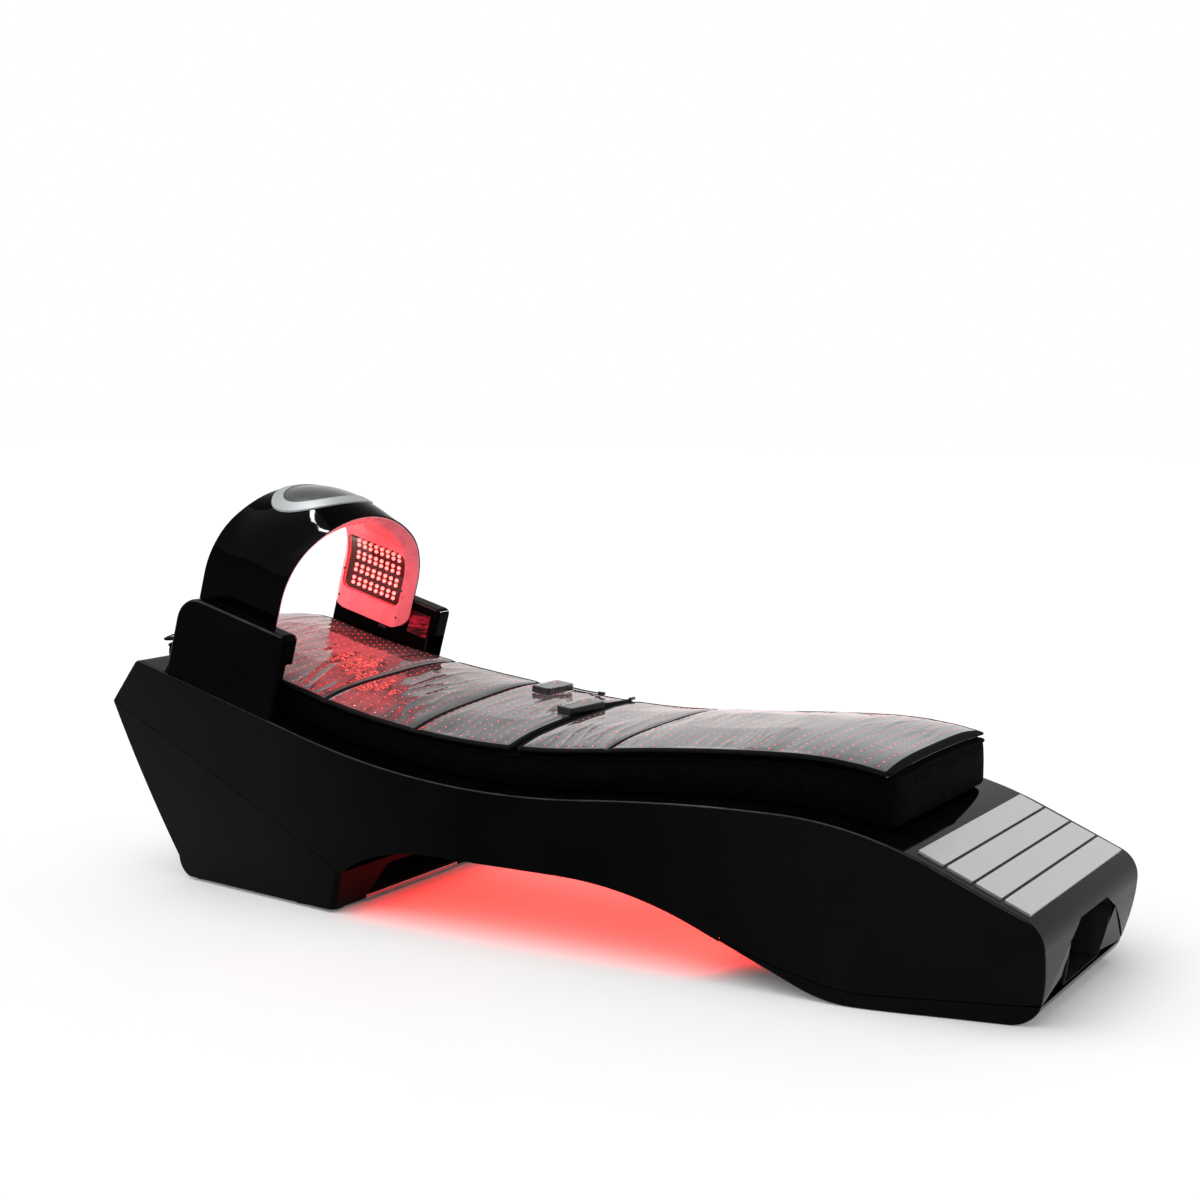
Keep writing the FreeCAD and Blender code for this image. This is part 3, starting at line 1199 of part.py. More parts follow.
def handset_shell(low, high):
    """Slice of the handset's hollow case between two heights."""
    half_x = HANDSET_WIDTH / 2
    half_y = HANDSET_LENGTH / 2
    whole = rounded_block(half_x, half_y, 0, HANDSET_HEIGHT, HANDSET_CORNER)
    rims = [edge for edge in whole.Edges if edge.BoundBox.ZLength < 1]
    whole = whole.makeFillet(HANDSET_EDGE, rims)
    hollow = rounded_block(half_x - HANDSET_WALL, half_y - HANDSET_WALL, HANDSET_WALL,
                           HANDSET_HEIGHT - HANDSET_WALL, HANDSET_CORNER - HANDSET_WALL)
    slice_box = box((-half_x, -half_y, low), (half_x, half_y, high))
    return whole.cut(hollow).common(slice_box)


def key_place(number):
    """Centre of a key in the handset's own frame."""
    return Vector(-HANDSET_WIDTH / 2 + KEY_FROM_SIDE,
                  -HANDSET_LENGTH / 2 + KEY_FROM_END + number * KEY_PITCH, 0)


def display_block(low, high, extra):
    """Block for the display window, grown by an extra."""
    y = HANDSET_LENGTH / 2 - DISPLAY_FROM_END
    return box((-DISPLAY_WIDTH / 2 - extra, y - DISPLAY_LENGTH / 2 - extra, low),
               (DISPLAY_WIDTH / 2 + extra, y + DISPLAY_LENGTH / 2 + extra, high))


def make_handset(number):
    """One handset: lower case, cover, display and keys, placed on the mats."""
    case = handset_shell(0, HANDSET_SPLIT)
    cover = handset_shell(HANDSET_SPLIT, HANDSET_HEIGHT)
    top = HANDSET_HEIGHT
    cover = cover.cut(display_block(top - DISPLAY_THICKNESS, top + DISPLAY_THICKNESS, 0))
    display = display_block(top - DISPLAY_THICKNESS, top, -KEY_FIT / 2)
    keys = []
    for key_number in range(KEY_COUNT):
        centre = key_place(key_number)
        hole = Part.makeCylinder(KEY_RADIUS + KEY_FIT, 2 * HANDSET_WALL,
                                 centre + Vector(0, 0, top - 1.5 * HANDSET_WALL))
        cover = cover.cut(hole)
        cap = Part.makeCylinder(KEY_RADIUS, KEY_STEM + KEY_PROUD, centre + Vector(0, 0, top - KEY_STEM))
        rim = [edge for edge in cap.Edges if edge.BoundBox.ZLength < 0.1 and edge.BoundBox.ZMin > top]
        flange = Part.makeCylinder(KEY_RADIUS + KEY_FLANGE, KEY_FLANGE,
                                   centre + Vector(0, 0, top - HANDSET_WALL - KEY_FIT - KEY_FLANGE))
        keys.append(cap.makeFillet(KEY_PROUD / 2, rim).fuse(flange))
    frame = handset_frame(number)
    for shape in [case, cover, display] + keys:
        shape.Placement = frame.multiply(shape.Placement)
    return case, cover, display, keys


# Leads from the handsets to the mats' far edge. Each list is the route past the strain relief,
# as distances from the handset's outlet along X and Y and heights above the mat.
LEAD_ROUTES = (
    ((0.0, 14.0, 4.4), (7.0, 23.0, 2.8), (22.0, 27.0, 2.4), (44.0, 25.0, 2.4), (68.0, 19.0, 3.0),
     (90.0, 12.0, 4.7)),
    ((0.0, 14.0, 4.4), (-2.0, 36.0, 2.6), (-5.0, 60.0, 2.4), (-10.0, 86.0, 2.4), (-16.0, 111.0, 3.0),
     (-22.0, 134.0, 4.7)),
)


def lead_start(number):
    """Outlet of a handset's strain relief, and the way it points."""
    frame = handset_frame(number)
    tip = Vector(0, HANDSET_LENGTH / 2 + RELIEF_LENGTH, RELIEF_HEIGHT)
    return frame.multVec(tip), frame.Rotation.multVec(Vector(0, 1, 0))


def lead_points(number):
    start, way = lead_start(number)
    side = Vector(way.y, -way.x, 0)
    points = [start]
    for along, out, height in LEAD_ROUTES[number]:
        place = start + side * along + way * out
        points.append(Vector(place.x, place.y, mat_surface(place.x, place.y) + height))
    return points


def rounded_path(points, name):
    """Straight runs joined by arcs as large as the runs allow."""
    edges = []
    last = points[0]
    radii = []
    for before, corner, after in zip(points, points[1:], points[2:]):
        back = before - corner
        ahead = after - corner
        turn = math.pi - back.getAngle(ahead)
        run = LEAD_BEND_SHARE * min(back.Length, ahead.Length)
        radius = run / math.tan(turn / 2)
        radii.append(round(radius, 1))
        start = corner + Vector(back).normalize() * run
        end = corner + Vector(ahead).normalize() * run
        bisector = (Vector(back).normalize() + Vector(ahead).normalize()).normalize()
        middle = corner + bisector * (radius / math.cos(turn / 2) - radius)
        edges.append(line(last, start))
        edges.append(Part.Arc(start, middle, end).toShape())
        last = end
    edges.append(line(last, points[-1]))
    print(name, "bend radii", radii)
    return Part.Wire(edges)


def make_lead(number):
    name = "handset_{}_lead".format(number + 1)
    points = lead_points(number)
    path = rounded_path(points, name)
    ring = Part.Wire([Part.Circle(points[0], points[1] - points[0], LEAD_RADIUS).toShape()])
    tube = path.makePipeShell([ring], True, False)
    section = math.pi * LEAD_RADIUS ** 2
    print(name, "length", round(path.Length, 1), "volume", round(tube.Volume), "section times length",
          round(section * path.Length))
    return tube


def make_relief(number):
    """Tapered strain relief on the handset's end."""
    start, _ = lead_start(number)
    frame = handset_frame(number)
    root = frame.multVec(Vector(0, HANDSET_LENGTH / 2, RELIEF_HEIGHT))
    way = start - root
    relief = Part.makeCone(RELIEF_ROOT_RADIUS, RELIEF_TIP_RADIUS, way.Length, root, way)
    points = lead_points(number)
    seat = Part.makeCylinder(LEAD_RADIUS, RELIEF_LENGTH, points[0], points[1] - points[0])
    return relief.cut(seat)


def make_gland(number):
    """Cable gland on the mat where the lead goes in."""
    points = lead_points(number)
    way = points[-1] - points[-2]
    way.normalize()
    end = points[-1]
    return Part.makeCylinder(GLAND_RADIUS, GLAND_LENGTH, end, way)


# Steel frame
def tube(low, high, open_axis):
    """Square-cut hollow section between two corners, open along one axis."""
    outer = box(low, high)
    wall = [0 if axis == open_axis else TUBE_WALL for axis in range(3)]
    inner = box([value + thick for value, thick in zip(low, wall)],
                [value - thick for value, thick in zip(high, wall)])
    return outer.cut(inner)


def make_rails():
    inner = RAIL_HALF_SPREAD - RAIL_WIDTH / 2
    outer = RAIL_HALF_SPREAD + RAIL_WIDTH / 2
    left = tube((from_tip(RAIL_HEAD_FROM_TIP), inner, RAIL_BOTTOM),
                (from_nose(RAIL_FOOT_FROM_NOSE), outer, RAIL_BOTTOM + RAIL_HEIGHT), 0)
    return left, mirrored(left)


def cross_places():
    """X of every cross member."""
    return [from_tip(run) for run in CROSS_FROM_TIP] + [from_nose(run) for run in CROSS_FROM_NOSE]


def make_cross_members():
    reach = RAIL_HALF_SPREAD - RAIL_WIDTH / 2
    members = []
    for x in cross_places():
        members.append(tube((x - POST_SIDE / 2, -reach, RAIL_BOTTOM),
                            (x + POST_SIDE / 2, reach, RAIL_BOTTOM + POST_SIDE), 1))
    return members


def make_posts():
    """Legs from the base floors to the rails, and stanchions from the rails to the deck."""
    posts = []
    low = RAIL_HALF_SPREAD - RAIL_WIDTH / 2
    high = RAIL_HALF_SPREAD + RAIL_WIDTH / 2
    legs = [(from_tip(run), PAD_HEIGHT + SHELL_WALL) for run in HEAD_LEGS_FROM_TIP]
    legs += [(from_nose(run), SKIRT_FLOOR) for run in FOOT_LEGS_FROM_NOSE]
    for x, floor in legs:
        leg = tube((x - POST_SIDE / 2, low, floor), (x + POST_SIDE / 2, high, RAIL_BOTTOM), 2)
        posts += [leg, mirrored(leg)]
    ceiling = upper_void(SHELL_WALL)
    for x in cross_places():
        stanchion = tube((x - POST_SIDE / 2, low, RAIL_BOTTOM + RAIL_HEIGHT),
                         (x + POST_SIDE / 2, high, TIP_HEIGHT + DIP_HEIGHT), 2).common(ceiling)
        posts += [stanchion, mirrored(stanchion)]
    return posts


# Electrical parts
def floor_box(size, x):
    """Box on the head base's floor, in the middle of its width."""
    floor = PAD_HEIGHT + SHELL_WALL
    block = box((x - size[0] / 2, -size[1] / 2, floor), (x + size[0] / 2, size[1] / 2, floor + size[2]))
    upright = [edge for edge in block.Edges if edge.BoundBox.ZLength > 1]
    return block.makeFillet(PLATE_CORNER, upright)


def rear_frame():
    """Placement on the head base's rear face: X out of the face, Y across, Z up along it."""
    edge = rear_arc().toShape()
    level = line(point(HEAD_TIP.x - SIDE_OVERRUN, INLET_HEIGHT), point(0, INLET_HEIGHT))
    place = edge.distToShape(level)[1][0][0]
    out = (place - edge.Curve.Center).normalize()
    up = Vector(out.z, 0, -out.x)
    return Placement(place, Rotation(out, up.cross(out), up, "XYZ"))


REAR_FRAME = rear_frame()


def inlet_place(shape):
    placed = shape.copy()
    placed.Placement = REAR_FRAME.multiply(placed.Placement)
    return placed


def face_block(width, height, across_bed, low, high):
    """Block on the rear face between two depths, counted outwards."""
    return box((low, across_bed - width / 2, -height / 2), (high, across_bed + width / 2, height / 2))


def inlet_window():
    """Cut-out in the rear face behind the inlet plate."""
    return face_block(INLET_PLATE_WIDTH - 2 * SHELL_WALL, INLET_PLATE_HEIGHT - 2 * SHELL_WALL, 0,
                      -6 * SHELL_WALL, SHELL_WALL)


def make_inlet_plate():
    base = INLET_PLATE_STAND_OFF
    plate = face_block(INLET_PLATE_WIDTH, INLET_PLATE_HEIGHT, 0, base, base + INLET_PLATE_THICKNESS)
    corners = [edge for edge in plate.Edges if edge.BoundBox.XLength > INLET_PLATE_THICKNESS / 2]
    plate = plate.makeFillet(PLATE_CORNER, corners)
    through = base + 2 * INLET_PLATE_THICKNESS
    plate = plate.cut(face_block(INLET_WIDTH + 2 * INLET_WALL, INLET_OPENING_HEIGHT + 2 * INLET_WALL,
                                 -INLET_ACROSS, 0, through))
    return plate.cut(face_block(ROCKER_WIDTH + 2 * ROCKER_FIT, ROCKER_HEIGHT + 2 * ROCKER_FIT, ROCKER_ACROSS,
                                0, through))


def make_mains_inlet():
    """Appliance socket with three pins."""
    face = INLET_PLATE_STAND_OFF + INLET_PLATE_THICKNESS
    body = face_block(INLET_WIDTH + 2 * INLET_WALL, INLET_OPENING_HEIGHT + 2 * INLET_WALL, -INLET_ACROSS,
                      face - INLET_DEPTH - INLET_WALL, face)
    body = body.cut(face_block(INLET_WIDTH, INLET_OPENING_HEIGHT, -INLET_ACROSS,
                               face - INLET_DEPTH, face + 1))
    for offset, rise in ((-INLET_PIN_SPREAD, -INLET_PIN_RADIUS), (0, INLET_PIN_RADIUS),
                         (INLET_PIN_SPREAD, -INLET_PIN_RADIUS)):
        pin = Part.makeCylinder(INLET_PIN_RADIUS, INLET_PIN_LENGTH,
                                Vector(face - INLET_DEPTH - INLET_WALL / 2, offset - INLET_ACROSS, rise),
                                Vector(1, 0, 0))
        body = body.fuse(pin)
    return body


def make_rocker():
    """Rocker of the mains switch, its face a shallow V."""
    face = INLET_PLATE_STAND_OFF + INLET_PLATE_THICKNESS
    half = ROCKER_HEIGHT / 2
    outline = [Vector(face - ROCKER_DEPTH / 2, 0, -half / 2), Vector(face, 0, -half + ROCKER_FIT),
               Vector(face + ROCKER_PROUD, 0, -half + ROCKER_FIT), Vector(face + ROCKER_PROUD / 3, 0, 0),
               Vector(face + ROCKER_PROUD / 3, 0, half - ROCKER_FIT),
               Vector(face - ROCKER_PROUD, 0, half - ROCKER_FIT),
               Vector(face - ROCKER_DEPTH / 2, 0, half / 2)]
    rocker = polygon_prism(outline, Vector(0, ROCKER_WIDTH, 0))
    rocker.translate(Vector(0, ROCKER_ACROSS - ROCKER_WIDTH / 2, 0))
    reach = ROCKER_WIDTH / 2 + ROCKER_FIT / 2
    pivot = Part.makeCylinder(ROCKER_PIVOT_RADIUS, 2 * reach,
                              Vector(face - ROCKER_PIVOT_DEPTH, ROCKER_ACROSS - reach, 0), Vector(0, 1, 0))
    return rocker.fuse(pivot)


# Floor pads and under-bed light
def make_floor_pads():
    """Rubber pads under the head base."""
    pads = []
    rear = from_tip(REAR_FOOT_FROM_TIP) + PAD_INSET
    front = from_tip(HEAD_WALL_FROM_TIP) - PAD_INSET - PAD_LENGTH
    for x in (rear, front):
        outer = side_half_width(x, 0) - PAD_INSET
        pad = box((x, outer - PAD_WIDTH, 0), (x + PAD_LENGTH, outer, PAD_HEIGHT))
        upright = [edge for edge in pad.Edges if edge.BoundBox.ZLength > 1]
        pad = pad.makeFillet(PLATE_CORNER, upright)
        pads += [pad, mirrored(pad)]
    return pads


def make_underglow():
    """Light channels with their lenses: two along the arch, one below the head wall's recess."""
    ceiling = ARCH_HEIGHT + ARCH_LINER_RISE
    outer = HALF_WIDTH - SHELL_WALL - STRIP_INSET
    head = ARCH_HEAD_CENTRE.x + STRIP_END_MARGIN
    foot = RAMP_CENTRE.x - STRIP_END_MARGIN
    channel = box((head, outer - STRIP_WIDTH, ceiling - STRIP_HEIGHT), (foot, outer, ceiling))
    lens = box((head, outer - STRIP_WIDTH + STRIP_LENS, ceiling - STRIP_HEIGHT),
               (foot, outer - STRIP_LENS, ceiling - STRIP_HEIGHT + STRIP_LENS))
    channel = channel.cut(lens)
    lean = (ARCH_END.x - from_tip(HEAD_WALL_FROM_TIP)) / (ARCH_END.z - PAD_HEIGHT)
    low = PAD_HEIGHT + STRIP_LENS
    wall = from_tip(HEAD_WALL_FROM_TIP) + lean * (low + STRIP_HEIGHT - PAD_HEIGHT)
    sill = box((wall, -SILL_STRIP_HALF, low), (wall + STRIP_LENS + 1, SILL_STRIP_HALF, low + STRIP_HEIGHT))
    sill_lens = box((wall + STRIP_LENS + 1, -SILL_STRIP_HALF, low + STRIP_LENS),
                    (wall + 2 * STRIP_LENS + 1, SILL_STRIP_HALF, low + STRIP_HEIGHT - STRIP_LENS))
    return [channel, mirrored(channel), sill], [lens, mirrored(lens), sill_lens]


def build():
    os.makedirs("parts", exist_ok=True)
    save("upper_shell", make_upper_shell())
    save("head_base_shell", make_head_base())
    save("foot_skirt", make_foot_skirt())
    save("foot_recess_liner", make_foot_recess_liner())
    save("foot_cheek_left", cheek())
    save("foot_cheek_right", mirrored(cheek()))
    save("arch_liner", make_arch_liner())
    save("head_recess_liner", make_head_recess_liner())
    for number, plate in enumerate(make_plates(), 1):
        save("foot_plate_{}".format(number), plate)

    wing = make_wing()
    panel = make_wing_panel()
    save("wing_shell_left", head_place(wing))
    save("wing_shell_right", head_place(mirrored(wing)))
    save("wing_panel_left", head_place(panel))
    save("wing_panel_right", head_place(mirrored(panel)))

    ring, top_panel = make_ring_and_panel()
    pin, bush, disc = make_hinge()
    stop = make_rest_stop()
    save("dome_outer_shell", head_place(make_dome_shell()))
    save("dome_liner", head_place(make_dome_liner()))
    save("dome_trim_ring", head_place(ring))
    save("dome_top_panel", head_place(top_panel))
    save("dome_windows", *[head_place(window) for window in make_windows()])
    save("dome_light_boards", *[head_place(board) for board in make_boards()])
    save("dome_lights", *[head_place(lamp) for lamp in make_dome_lights()])
    save("dome_liner_screws", *[head_place(head) for head in make_liner_screws()])
    save("pivot_pins", head_place(pin), head_place(mirrored(pin)))
    save("pivot_bushes", head_place(bush), head_place(mirrored(bush)))
    save("friction_discs", head_place(disc), head_place(mirrored(disc)))
    save("dome_rest_stops", head_place(stop), head_place(mirrored(stop)))

    save("mattress", make_mattress())
    save("upper_mat", make_mat(UPPER_MAT_HEAD, UPPER_MAT_FOOT, UPPER_MAT_SEAMS))
    save("lower_mat", make_mat(UPPER_MAT_FOOT + MAT_JOINT, MATTRESS_FOOT - MAT_FOOT_INSET, LOWER_MAT_SEAMS))

    displays = []
    for number in range(len(HANDSET_PLACES)):
        name = "handset_{}".format(number + 1)
        case, cover, display, keys = make_handset(number)
        displays.append(display)
        save(name + "_case", case)
        save(name + "_cover", cover)
        for key_number, key in enumerate(keys, 1):
            save("{}_key_{}".format(name, key_number), key)
        save(name + "_lead", make_lead(number))
    save("handset_displays", *displays)
    save("strain_reliefs", *[make_relief(number) for number in range(len(HANDSET_PLACES))])
    save("mat_glands", *[make_gland(number) for number in range(len(HANDSET_PLACES))])

    save("frame_rails", *make_rails())
    save("frame_cross_members", *make_cross_members())
    save("frame_posts", *make_posts())
    save("power_supply", floor_box(SUPPLY_SIZE, from_tip(SUPPLY_FROM_TIP)))
    save("control_unit", floor_box(CONTROL_SIZE, from_tip(CONTROL_FROM_TIP)))
    save("inlet_plate", inlet_place(make_inlet_plate()))
    save("mains_inlet", inlet_place(make_mains_inlet()))
    save("power_rocker", inlet_place(make_rocker()))
    save("floor_pads", *make_floor_pads())
    channels, lenses = make_underglow()
    save("underglow_channels", *channels)
    save("underglow_lenses", *lenses)


build()
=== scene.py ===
"""Red light therapy bed: surfaces, soft pieces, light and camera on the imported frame."""

import json
import math
import random

import bmesh
import bpy
from mathutils import Matrix, Vector, noise
from mathutils.bvhtree import BVHTree


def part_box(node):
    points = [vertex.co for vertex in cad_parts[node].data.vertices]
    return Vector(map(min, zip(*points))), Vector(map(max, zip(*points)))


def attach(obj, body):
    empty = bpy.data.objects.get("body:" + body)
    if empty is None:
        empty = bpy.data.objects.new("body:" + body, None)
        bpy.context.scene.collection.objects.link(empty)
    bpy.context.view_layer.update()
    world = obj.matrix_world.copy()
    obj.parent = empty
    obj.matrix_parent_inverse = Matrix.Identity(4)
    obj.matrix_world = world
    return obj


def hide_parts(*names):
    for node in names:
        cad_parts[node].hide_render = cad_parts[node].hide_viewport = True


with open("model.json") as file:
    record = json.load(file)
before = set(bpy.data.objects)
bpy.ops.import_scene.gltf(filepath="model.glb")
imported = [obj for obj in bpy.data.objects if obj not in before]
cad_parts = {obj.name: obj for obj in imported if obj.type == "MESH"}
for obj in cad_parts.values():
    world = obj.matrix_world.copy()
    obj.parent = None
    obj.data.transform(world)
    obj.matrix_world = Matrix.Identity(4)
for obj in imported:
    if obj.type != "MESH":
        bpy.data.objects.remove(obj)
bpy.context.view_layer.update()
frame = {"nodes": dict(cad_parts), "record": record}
NODES = frame["nodes"]
UP = Vector((0, 0, 1))
DOWN = Vector((0, 0, -1))

# Camera
CAMERA_PLACE = (2.5222, -4.172, 1.358)
CAMERA_RIGHT = Vector((0.85909, 0.51182, 0.0))
CAMERA_FORWARD = Vector((-0.50856, 0.85362, -0.11274))
CAMERA_LENS = 58.62
CAMERA_SENSOR = 36.0

# Light: overhead lamp, the floor's lift to white and the run under the bed where the lift is taken away as
# painted shade, and where the pale horizon turns to the ceiling's grey
SUN_LEVEL = 0.5
SUN_WAY = Vector((0.25, 0.35, -1))
SUN_WIDTH = math.radians(70)
GLOW_RED = (1.0, 0.03, 0.02)
FLOOR_LIFT = 0.15
# Painted shade: over these runs along X and Y under the bed, with soft ends, the floor loses its lift
PAINTED_SHADE_LENGTH = (-0.62, 0.95, 0.10)
PAINTED_SHADE_WIDTH = (-0.30, 0.42, 0.10)
CEILING_LEVEL = 0.35
CEILING_RISE = (0.30, 0.75)
FLOOR_REACH = 30
FLOOR_DROP = 0.0004

# Handset leads: the route's points, as the CAD tubes have them
LEAD_DIAMETER = 0.004
LEADS = {
    "handset_1": (0.1125, [
        (-0.227146, 0.275094, 0.532381), (-0.226917, 0.289088, 0.525255), (-0.219772, 0.29797, 0.5216),
        (-0.204713, 0.301724, 0.519066), (-0.182754, 0.299365, 0.517291), (-0.158861, 0.292975, 0.51666),
        (-0.136984, 0.285618, 0.517515)]),
    "handset_2": (0.1365, [
        (-0.036945, 0.130837, 0.520788), (-0.033883, 0.14449, 0.518034), (-0.031021, 0.166382, 0.516178),
        (-0.028697, 0.190443, 0.515511), (-0.027886, 0.216893, 0.51443), (-0.028269, 0.242585, 0.513268),
        (-0.029089, 0.266327, 0.512576)]),
}

# Mats: seams as X, the even mesh, and the air in them as pressure, farthest way and steps
MAT_SEAMS = {"upper_mat": (-0.609, -0.327), "lower_mat": (0.232,)}
MAT_VOXEL = 0.005
MAT_INSET = 0.0015
MAT_AIR = (3.0, 0.005, 14)
MAT_HELD = 0.03

# Film: how far it stops short of the binding, and the heights of its creases
FILM_SHORT = 0.005
BILLOW_HEIGHT = 0.0036
FOLD_HEIGHT = 0.0042
FINE_HEIGHT = 0.0004
CREASE_FROM_EDGE = 0.022
CREASE_FROM_SEAM = 0.018
SEAM_DIP = 0.0025
SEAM_DIP_REACH = 0.02
CRUMPLE_RUN = (-0.70, -0.35)

# Film under the handsets and leads: gap, reach and rise beside them
PRESS_MARGIN = 0.006
PRESS_REACH = 0.03
PRESS_RISE = 0.35
HANDSET_GAP = 0.0006
LEAD_GAP = 0.0004

# Lights of the mats
LIGHT_ROW_PITCH = 0.033
LIGHT_ROW_MARGIN = 0.03
LIGHT_PITCH = 0.0287
LIGHTS_PER_ROW = 20
LIGHT_RADIUS = 0.0021
LIGHT_SPREAD = (0.85, 1.1)
LIGHT_SIDES = 8
LIGHT_RIM = 0.0001
LIGHT_CROWN = 0.0007

# Tapes on the seams, and the binding round the mats' edges
TAPE_HALF = 0.0065
TAPE_PARTS = 60
TAPE_STEPS = 4
TAPE_RIM = 0.0003
TAPE_CROWN = 0.0006
BINDING_REACH = 0.013
BINDING_CORNER = 0.018
BINDING_EDGE = 0.003
BINDING_STEP = 0.012
BINDING_BULGE = 0.0012
BINDING_SHOULDER = 0.25

# Run of the shell that is polished least, and its soft ends
DULL_RUN = (-0.45, 0.55, 0.30)

# Nodes whose surface differs from that of their slot
SPECIAL_MATERIALS = {
    "dome_outer_shell": "dome_black",
    "wing_shell_left": "wing_black",
    "wing_shell_right": "wing_black",
    "wing_panel_left": "panel_gloss",
    "wing_panel_right": "panel_gloss",
    "dome_liner_screws": "screw_black",
}

# Heights between which the painted red reflection on the wing panels comes up
PANEL_PAINTED_RED_RISE = (0.57, 0.62)
# Heights between which the underglow's lenses come up
LENS_RISE = (0.10, 0.18)

# Handsets: size, and each one's place as columns X, Y, Z and its underside's middle
HANDSET_SIZE = (0.058, 0.126, 0.018)
HANDSET_FRAMES = {
    "handset_1": ((0.9949292, -0.0184670, -0.0988679), (0.0163479, 0.9996199, -0.0222010),
                  (0.0992403, 0.0204721, 0.9948529), (-0.229, 0.198, 0.528122)),
    "handset_2": ((0.9751443, -0.2172191, -0.0436967), (0.2187362, 0.9752074, 0.0335420),
                  (0.0353274, -0.0422663, 0.9984816), (-0.054, 0.056, 0.512214)),
}
MARK_SIDES = 12
MARK_LIFT = 0.0003

# Mattress: its even mesh, its air as the mats have it, and the piping round its top
MATTRESS_VOXEL = 0.008
MATTRESS_INSET = 0.001
MATTRESS_ROUNDS = 12
MATTRESS_AIR = (2.0, 0.004, 12)
PIPING_RADIUS = 0.004
PIPING_EDGE = 0.006
PIPING_CORNER = 0.026
PIPING_STEP = 0.02


# Node helpers
def new_material(name):
    made = bpy.data.materials.new(name)
    made.use_nodes = True
    tree = made.node_tree
    return made, tree, tree.nodes["Principled BSDF"]


def settle(shader, **values):
    """Set a shader's own sockets by their names, with spaces for underscores."""
    for key, value in values.items():
        shader.inputs[key.replace("_", " ")].default_value = value


def place_of(tree, stretch):
    """Object coordinates, stretched along the axes."""
    where = tree.nodes.new("ShaderNodeTexCoord")
    mapping = tree.nodes.new("ShaderNodeMapping")
    mapping.inputs["Scale"].default_value = stretch
    tree.links.new(where.outputs["Object"], mapping.inputs["Vector"])
    return mapping.outputs["Vector"]


def noise_value(tree, scale, detail=4.0, stretch=(1, 1, 1), rough=0.55, bend=0.0):
    made = tree.nodes.new("ShaderNodeTexNoise")
    made.inputs["Scale"].default_value = scale
    made.inputs["Detail"].default_value = detail
    made.inputs["Roughness"].default_value = rough
    made.inputs["Distortion"].default_value = bend
    tree.links.new(place_of(tree, stretch), made.inputs["Vector"])
    return made.outputs["Fac"]


def wave_value(tree, scale, direction, bend=0.0):
    made = tree.nodes.new("ShaderNodeTexWave")
    made.bands_direction = direction
    made.inputs["Scale"].default_value = scale
    made.inputs["Distortion"].default_value = bend
    tree.links.new(place_of(tree, (1, 1, 1)), made.inputs["Vector"])
    return made.outputs["Fac"]


def spread(tree, value, low, high, start=0.3, end=0.7):
    """A texture value spread from low to high."""
    made = tree.nodes.new("ShaderNodeMapRange")
    made.inputs["From Min"].default_value = start
    made.inputs["From Max"].default_value = end
    made.inputs["To Min"].default_value = low
    made.inputs["To Max"].default_value = high
    tree.links.new(value, made.inputs["Value"])
    return made.outputs["Result"]


def blend_colours(tree, value, first, second):
    made = tree.nodes.new("ShaderNodeMix")
    made.data_type = "RGBA"
    made.inputs[6].default_value = (*first, 1)
    made.inputs[7].default_value = (*second, 1)
    tree.links.new(value, made.inputs["Factor"])
    return made.outputs[2]


def combined(tree, operation, first, second):
    made = tree.nodes.new("ShaderNodeMath")
    made.operation = operation
    tree.links.new(first, made.inputs[0])
    tree.links.new(second, made.inputs[1])
    return made.outputs[0]


def added(tree, first, second):
    return combined(tree, "ADD", first, second)


def multiplied(tree, first, second):
    return combined(tree, "MULTIPLY", first, second)


def along(tree, axis):
    """Place along one of the bed's axes, in metres."""
    parts = tree.nodes.new("ShaderNodeSeparateXYZ")
    tree.links.new(place_of(tree, (1, 1, 1)), parts.inputs["Vector"])
    return parts.outputs[axis]


def between(tree, axis, low, high, soft):
    """One between two places along an axis, nought outside, with soft ends."""
    after = spread(tree, along(tree, axis), 0, 1, low - soft, low + soft)
    before = spread(tree, along(tree, axis), 1, 0, high - soft, high + soft)
    return multiplied(tree, after, before)


def bump(tree, shader, height, strength, distance):
    made = tree.nodes.new("ShaderNodeBump")
    made.inputs["Strength"].default_value = strength
    made.inputs["Distance"].default_value = distance
    tree.links.new(height, made.inputs["Height"])
    tree.links.new(made.outputs["Normal"], shader.inputs["Normal"])


def vary(tree, shader, value, first, second, low_rough, high_rough):
    """Colour and roughness that follow one texture value."""
    tree.links.new(blend_colours(tree, spread(tree, value, 0, 1), first, second), shader.inputs["Base Color"])
    tree.links.new(spread(tree, value, low_rough, high_rough), shader.inputs["Roughness"])


# Materials
def edge_highlight_mask(tree):
    """Mask for a painted highlight: one on rounded edges that face between sideways and up, nought on flat
    faces.
    """
    where = tree.nodes.new("ShaderNodeTexCoord")
    parts = tree.nodes.new("ShaderNodeSeparateXYZ")
    tree.links.new(where.outputs["Normal"], parts.inputs["Vector"])
    size = tree.nodes.new("ShaderNodeMath")
    size.operation = "ABSOLUTE"
    tree.links.new(parts.outputs["Y"], size.inputs[0])
    return spread(tree, multiplied(tree, size.outputs[0], parts.outputs["Z"]), 0, 1, 0.34, 0.5)


